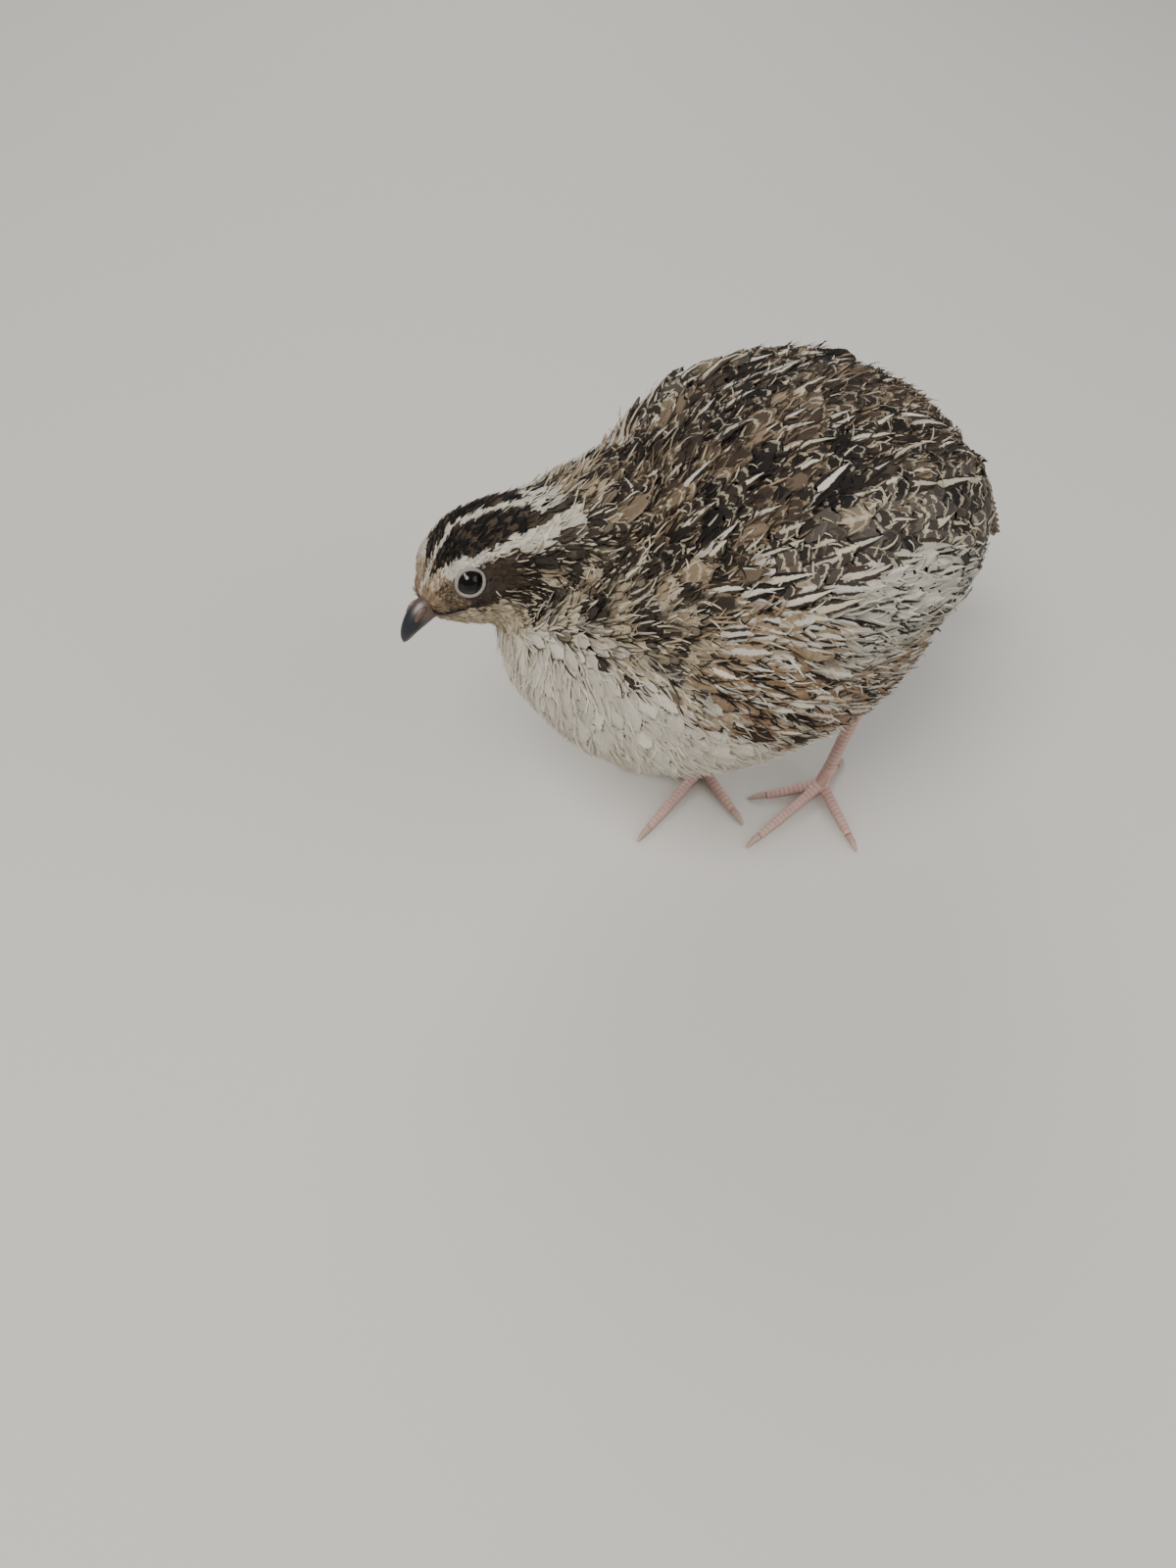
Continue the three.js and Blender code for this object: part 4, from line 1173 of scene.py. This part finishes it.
def lid_material():
    """Thin bare skin, pale grey with a pink cast, in blotches about 0.5 mm wide."""
    material, shader, blotch = blotched("bare_lid_skin", 0.5, 3.0, linear("#766C67"), linear("#A39A94"))
    bump = add(material, "Bump", {"Height": blotch, "Strength": 0.3, "Distance": 0.08 * MM})
    feed(material, shader, {"Normal": bump, "Roughness": 0.55})
    return material


EYE = eye_material()
LID = lid_material()
for side in EYES:
    put(make_eye(side), EYE, "eye", "eye_" + side)
    put(make_lids(side), LID, "plumage")


# Bill: slate-dark horn, browner at the root, with a flesh-brown cover over each nostril

def bill_half(name, half, high, reach, up):
    """One half as a tapered rod with a ridged outer side; up is 1 or -1."""
    rings = []
    for t in np.linspace(BILL_ROOTED, 1, 40):
        forward = BILL_BASE + BILL_LENGTH * reach * t
        taper = math.sqrt(1 - max(t, 0) ** 1.7) * 0.97 + 0.03
        wide = 1 + 0.25 * max(0, -t)
        ring = []
        for a in np.linspace(0, 2 * np.pi, 41)[:-1]:
            proud = max(0, up * math.sin(a))
            within = math.sin(a) - up * proud
            side = half * wide * taper * math.cos(a) * (1 - 0.28 * proud)
            rise = mouth_height(forward) + up * proud * high * taper + within * 0.2
            ring.append(head_point(forward, side, rise - 0.05 * up * math.cos(a) ** 8))
        rings.append(ring)
    piece = loft(name, np.array(rings))
    h = in_head(points_of(piece.data))
    tip = smoothstep(h[:, 0], 11.0, 14.0)
    edge = (1 - smoothstep(np.abs(h[:, 2] - mouth_height(h[:, 0])), 0.1, 0.45)) * 0.35 * tip
    colours = blend(linear("#57483F"), linear("#23262B"), tip)
    store_colour(piece.data, "horn", blend(colours, linear("#8A8680"), edge))
    return piece


NOSTRIL_SIZE = np.array([1.9, 0.5, 0.95])  # half the cover's length, width and height, in millimetres
NOSTRIL_PLACE = (12.0, 2.05, -1.35)  # forward, left and up of the head's centre, in millimetres


def nostril_cover(side):
    """The soft swelling over a nostril, with the slit along its lower edge, painted near black as painted
    shade of the opening.
    """
    bpy.ops.mesh.primitive_uv_sphere_add(segments=32, ring_count=20, radius=1)
    cover = bpy.context.object
    points = points_of(cover.data) * NOSTRIL_SIZE
    slit = np.exp(-((points[:, 2] + 0.45) / 0.16) ** 2) * (np.abs(points[:, 0] - 0.3) < 1.3)
    points[:, 1] *= 1 - 0.5 * slit
    points[:, 2] -= 0.22 * points[:, 0]
    place = points + np.array(NOSTRIL_PLACE) * [1, side, 1]
    move_points(cover.data, np.array([head_point(*p) for p in place]))
    # Painted shade: the slit is coloured near black for the shade inside the nostril's opening
    colours = blend(linear("#5E4A41"), linear("#1F1917"), slit)
    store_colour(cover.data, "horn", colours)
    smoothed(cover)
    return cover


def horn_material():
    """Smooth horn with faint blotches about 0.7 mm wide."""
    material, shader, blotch = blotched("bill_horn", 0.7, 4.0, 0.75, 1.3, own="horn")
    bump = add(material, "Bump", {"Height": blotch, "Strength": 0.15, "Distance": 0.1 * MM})
    feed(material, shader, {"Normal": bump, "Roughness": 0.32})
    return material


def mouth_corner(side):
    """The soft lip that runs back from the bill under the lores."""
    rings = []
    for forward in np.linspace(11.2, 4.4, 20):
        outside = head_point(forward, side * 16, mouth_height(forward))
        hit, normal, _, _ = SKIN.ray_cast(Vector(outside), Vector(-HEAD_LEFT * side))
        if hit is None:
            continue
        centre = np.array(hit) + np.array(normal) * 0.3 * MM
        thick = 0.34 * MM * np.interp(forward, [4.4, 6, 11.2], [0.3, 1, 0.9])
        around = np.linspace(0, 2 * np.pi, 11)[:-1]
        rings.append([centre + (HEAD_UP * math.sin(a) + HEAD_LEFT * math.cos(a)) * thick for a in around])
    lip = loft("lip", np.array(rings))
    store_colour(lip.data, "horn", np.tile(linear("#5B4A42"), (len(lip.data.vertices), 1)))
    return lip


HORN = horn_material()
upper = joined("bill_upper_half", [bill_half("upper", 3.1, 3.6, 1, 1), nostril_cover(1), nostril_cover(-1)])
put(upper, HORN, "bill_horn", "bill_upper")
put(bill_half("bill_lower_half", 2.6, 2.05, 0.86, -1), HORN, "bill_horn", "bill_lower")
put(joined("mouth_corners", [mouth_corner(1), mouth_corner(-1)]), HORN, "bill_horn")


# Legs: pink scaled skin, the scutes raised across the shank's front and the toes' tops, with painted shade in
# the furrows between them

TOES = ["inner", "middle", "outer", "hind"]
SCUTE = 1.25 * MM  # length of one scute
SCUTE_HEIGHT = 0.1 * MM


def make_foot(side):
    nodes = ["shank_" + side] + [f"toe_{side}_{toe}" for toe in TOES]
    foot = joined_copy("leg_" + side, nodes)
    applied(foot, "REMESH", mode="VOXEL", voxel_size=0.24 * MM)
    applied(foot, "SMOOTH", factor=0.5, iterations=6)
    points = points_of(foot.data)
    normals = points_of(foot.data, "normal")
    shank = points_of(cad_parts["shank_" + side].data)
    ankle = shank[shank[:, 2] < shank[:, 2].min() + 2 * MM].mean(0)
    out = np.linalg.norm(points[:, :2] - ankle[:2], axis=1)
    on_toe = 1 - smoothstep(points[:, 2] / MM, 5.5, 8)
    along = out * on_toe + (points[:, 2] + 4 * MM) * (1 - on_toe)
    step = (along / SCUTE) % 1
    plate = np.minimum(1, np.minimum(step, 1 - step) * 5)
    top, front = smoothstep(normals[:, 2], 0.15, 0.6), smoothstep(-normals[:, 0], -0.1, 0.4)
    outer = top * on_toe + front * (1 - on_toe)
    relief = (plate - 1) * SCUTE_HEIGHT * (0.3 + 0.7 * outer)
    move_points(foot.data, points + normals * relief[:, None])
    # Painted shade: the furrows between scutes are coloured darker than the plates, for the shade in them
    colours = blend(linear("#AD8479"), linear("#CDAAA0"), plate)
    colours = blend(colours, linear("#C79A80"), 0.35 * on_toe * (1 - outer))
    store_colour(foot.data, "flesh", colours)
    smoothed(foot)
    return put(foot, FLESH, "leg_skin", *nodes)


def flesh_material():
    """Moist skin, a little translucent, with blotches about 2 mm wide and pebbled scales of 0.35 mm."""
    material, shader, _ = blotched("scaled_leg_skin", 2, 4.0, 0.82, 1.15, own="flesh")
    place = add(material, "TexCoord").outputs["Object"]
    pebbles = add(material, "TexVoronoi", {"Vector": place, "Scale": 1 / (0.35 * MM)})
    bump = add(material, "Bump", {"Height": pebbles, "Strength": 0.25, "Distance": 0.08 * MM})
    feed(material, shader, {"Normal": bump, "Roughness": 0.45, "Subsurface Weight": 0.2,
                            "Subsurface Radius": (0.9 * MM, 0.35 * MM, 0.25 * MM), "Subsurface Scale": 1.0})
    return material


FLESH = flesh_material()
for side in EYES:
    make_foot(side)


# Claws: pale blunt horn

def claw_material():
    """Growth bands about 1 mm wide."""
    material, shader, _ = blotched("claw_horn", 1.0, 2.0, linear("#9C7F70"), linear("#C9ADA0"))
    feed(material, shader, {"Roughness": 0.35})
    return material


def make_claws():
    nodes = [f"claw_{side}_{toe}" for side in EYES for toe in TOES]
    claws = joined_copy("claws", nodes)
    applied(claws, "REMESH", mode="VOXEL", voxel_size=0.14 * MM)
    applied(claws, "SMOOTH", factor=0.5, iterations=5)
    smoothed(claws)
    return put(claws, claw_material(), "claw_horn", *nodes)


make_claws()


# Tail: twelve short quills, the middle pair on top

TAIL_QUILLS = 12


def make_tail():
    places = np.arange(TAIL_QUILLS) - (TAIL_QUILLS - 1) / 2
    spines = []
    for place in places:
        out = abs(place)
        root = TAIL_ROOT + np.array([0, 0.9 * place, -0.35 * out]) * MM
        tip = TAIL_TIP + np.array([-0.9 * out, 1.5 * place, -0.5 * out + 1.5]) * MM
        along = ROWS[:, None]
        line = root * (1 - along) + tip * along
        line[:, 2] += np.sin(np.pi * ROWS) * 1.2 * MM
        spines.append(line)
    spines = np.array(spines)
    slope = unit(np.gradient(spines, axis=1))
    flat = np.zeros_like(slope) + np.array([0, 1.0, 0])
    facings = unit(np.cross(slope, flat))
    facings *= np.sign(facings[..., 2:])
    tilt = np.array([0, 1.0, 0]) * (places * 0.07)[:, None, None]
    facings = unit(facings + tilt)
    steady = np.random.default_rng(SEED + 1)
    points = vanes(spines, facings, np.full(TAIL_QUILLS, 2.9 * MM), QUILL_TIP, COLUMNS, steady, 0.12, 0.05)
    chance = steady.random(TAIL_QUILLS)
    looks = looks_of(TAIL_QUILLS, blend(SEPIA, GREY_BROWN, 0.1 + 0.3 * chance), UMBER, STRAW, BUFF,
                     0.0, 0.7, 0.35, steady)
    piece = feather_mesh("tail_quills", points, looks, skin_patches(spines[:, 0]))
    return put(piece, FEATHER, "plumage", "tail")


make_tail()


# Stage: pale matt floor, soft daylight from a big window, camera as in the photograph

def stage_floor():
    bpy.ops.mesh.primitive_plane_add(size=3)
    floor = bpy.context.object
    floor.name = "studio_floor"
    material, shader = new_material("pale_matt_board")
    feed(material, shader, {"Base Color": linear("#CFCBC4"), "Roughness": 0.9})
    floor.data.materials.append(material)


def area_light(name, place, aim, size, power, colour):
    light = bpy.data.lights.new(name, "AREA")
    light.shape = "DISK"
    light.size = size
    light.energy = power
    light.color = colour
    lamp = placed(name, light)
    lamp.location = place
    lamp.rotation_euler = (Vector(aim) - Vector(place)).to_track_quat("-Z", "Y").to_euler()


stage_floor()
area_light("window", (-0.5, -0.25, 0.9), (0, 0, 0.06), 0.5, 9, (1.0, 0.98, 0.95))
area_light("fill", (0.6, -0.7, 0.6), (0, 0, 0.06), 0.9, 4, (0.95, 0.97, 1.0))
area_light("back", (0.3, 0.8, 0.7), (0, 0, 0.08), 0.6, 4, (1.0, 1.0, 1.0))
world = bpy.data.worlds.new("soft_room")
world.use_nodes = True
world.node_tree.nodes["Background"].inputs["Color"].default_value = linear("#D8DADC")
world.node_tree.nodes["Background"].inputs["Strength"].default_value = 0.45
bpy.context.scene.world = world

# The photograph looks 50 degrees down from 24 cm above the floor, through a 27 mm lens
camera = bpy.data.cameras.new("camera")
camera.lens = 27.18
camera.sensor_width = 36
camera.clip_start = 0.01
viewer = placed("camera", camera)
viewer.location = (-0.14289, -0.15732, 0.238)
viewer.rotation_euler = [math.radians(a) for a in (40.177, -2.173, -29.428)]
bpy.context.scene.camera = viewer
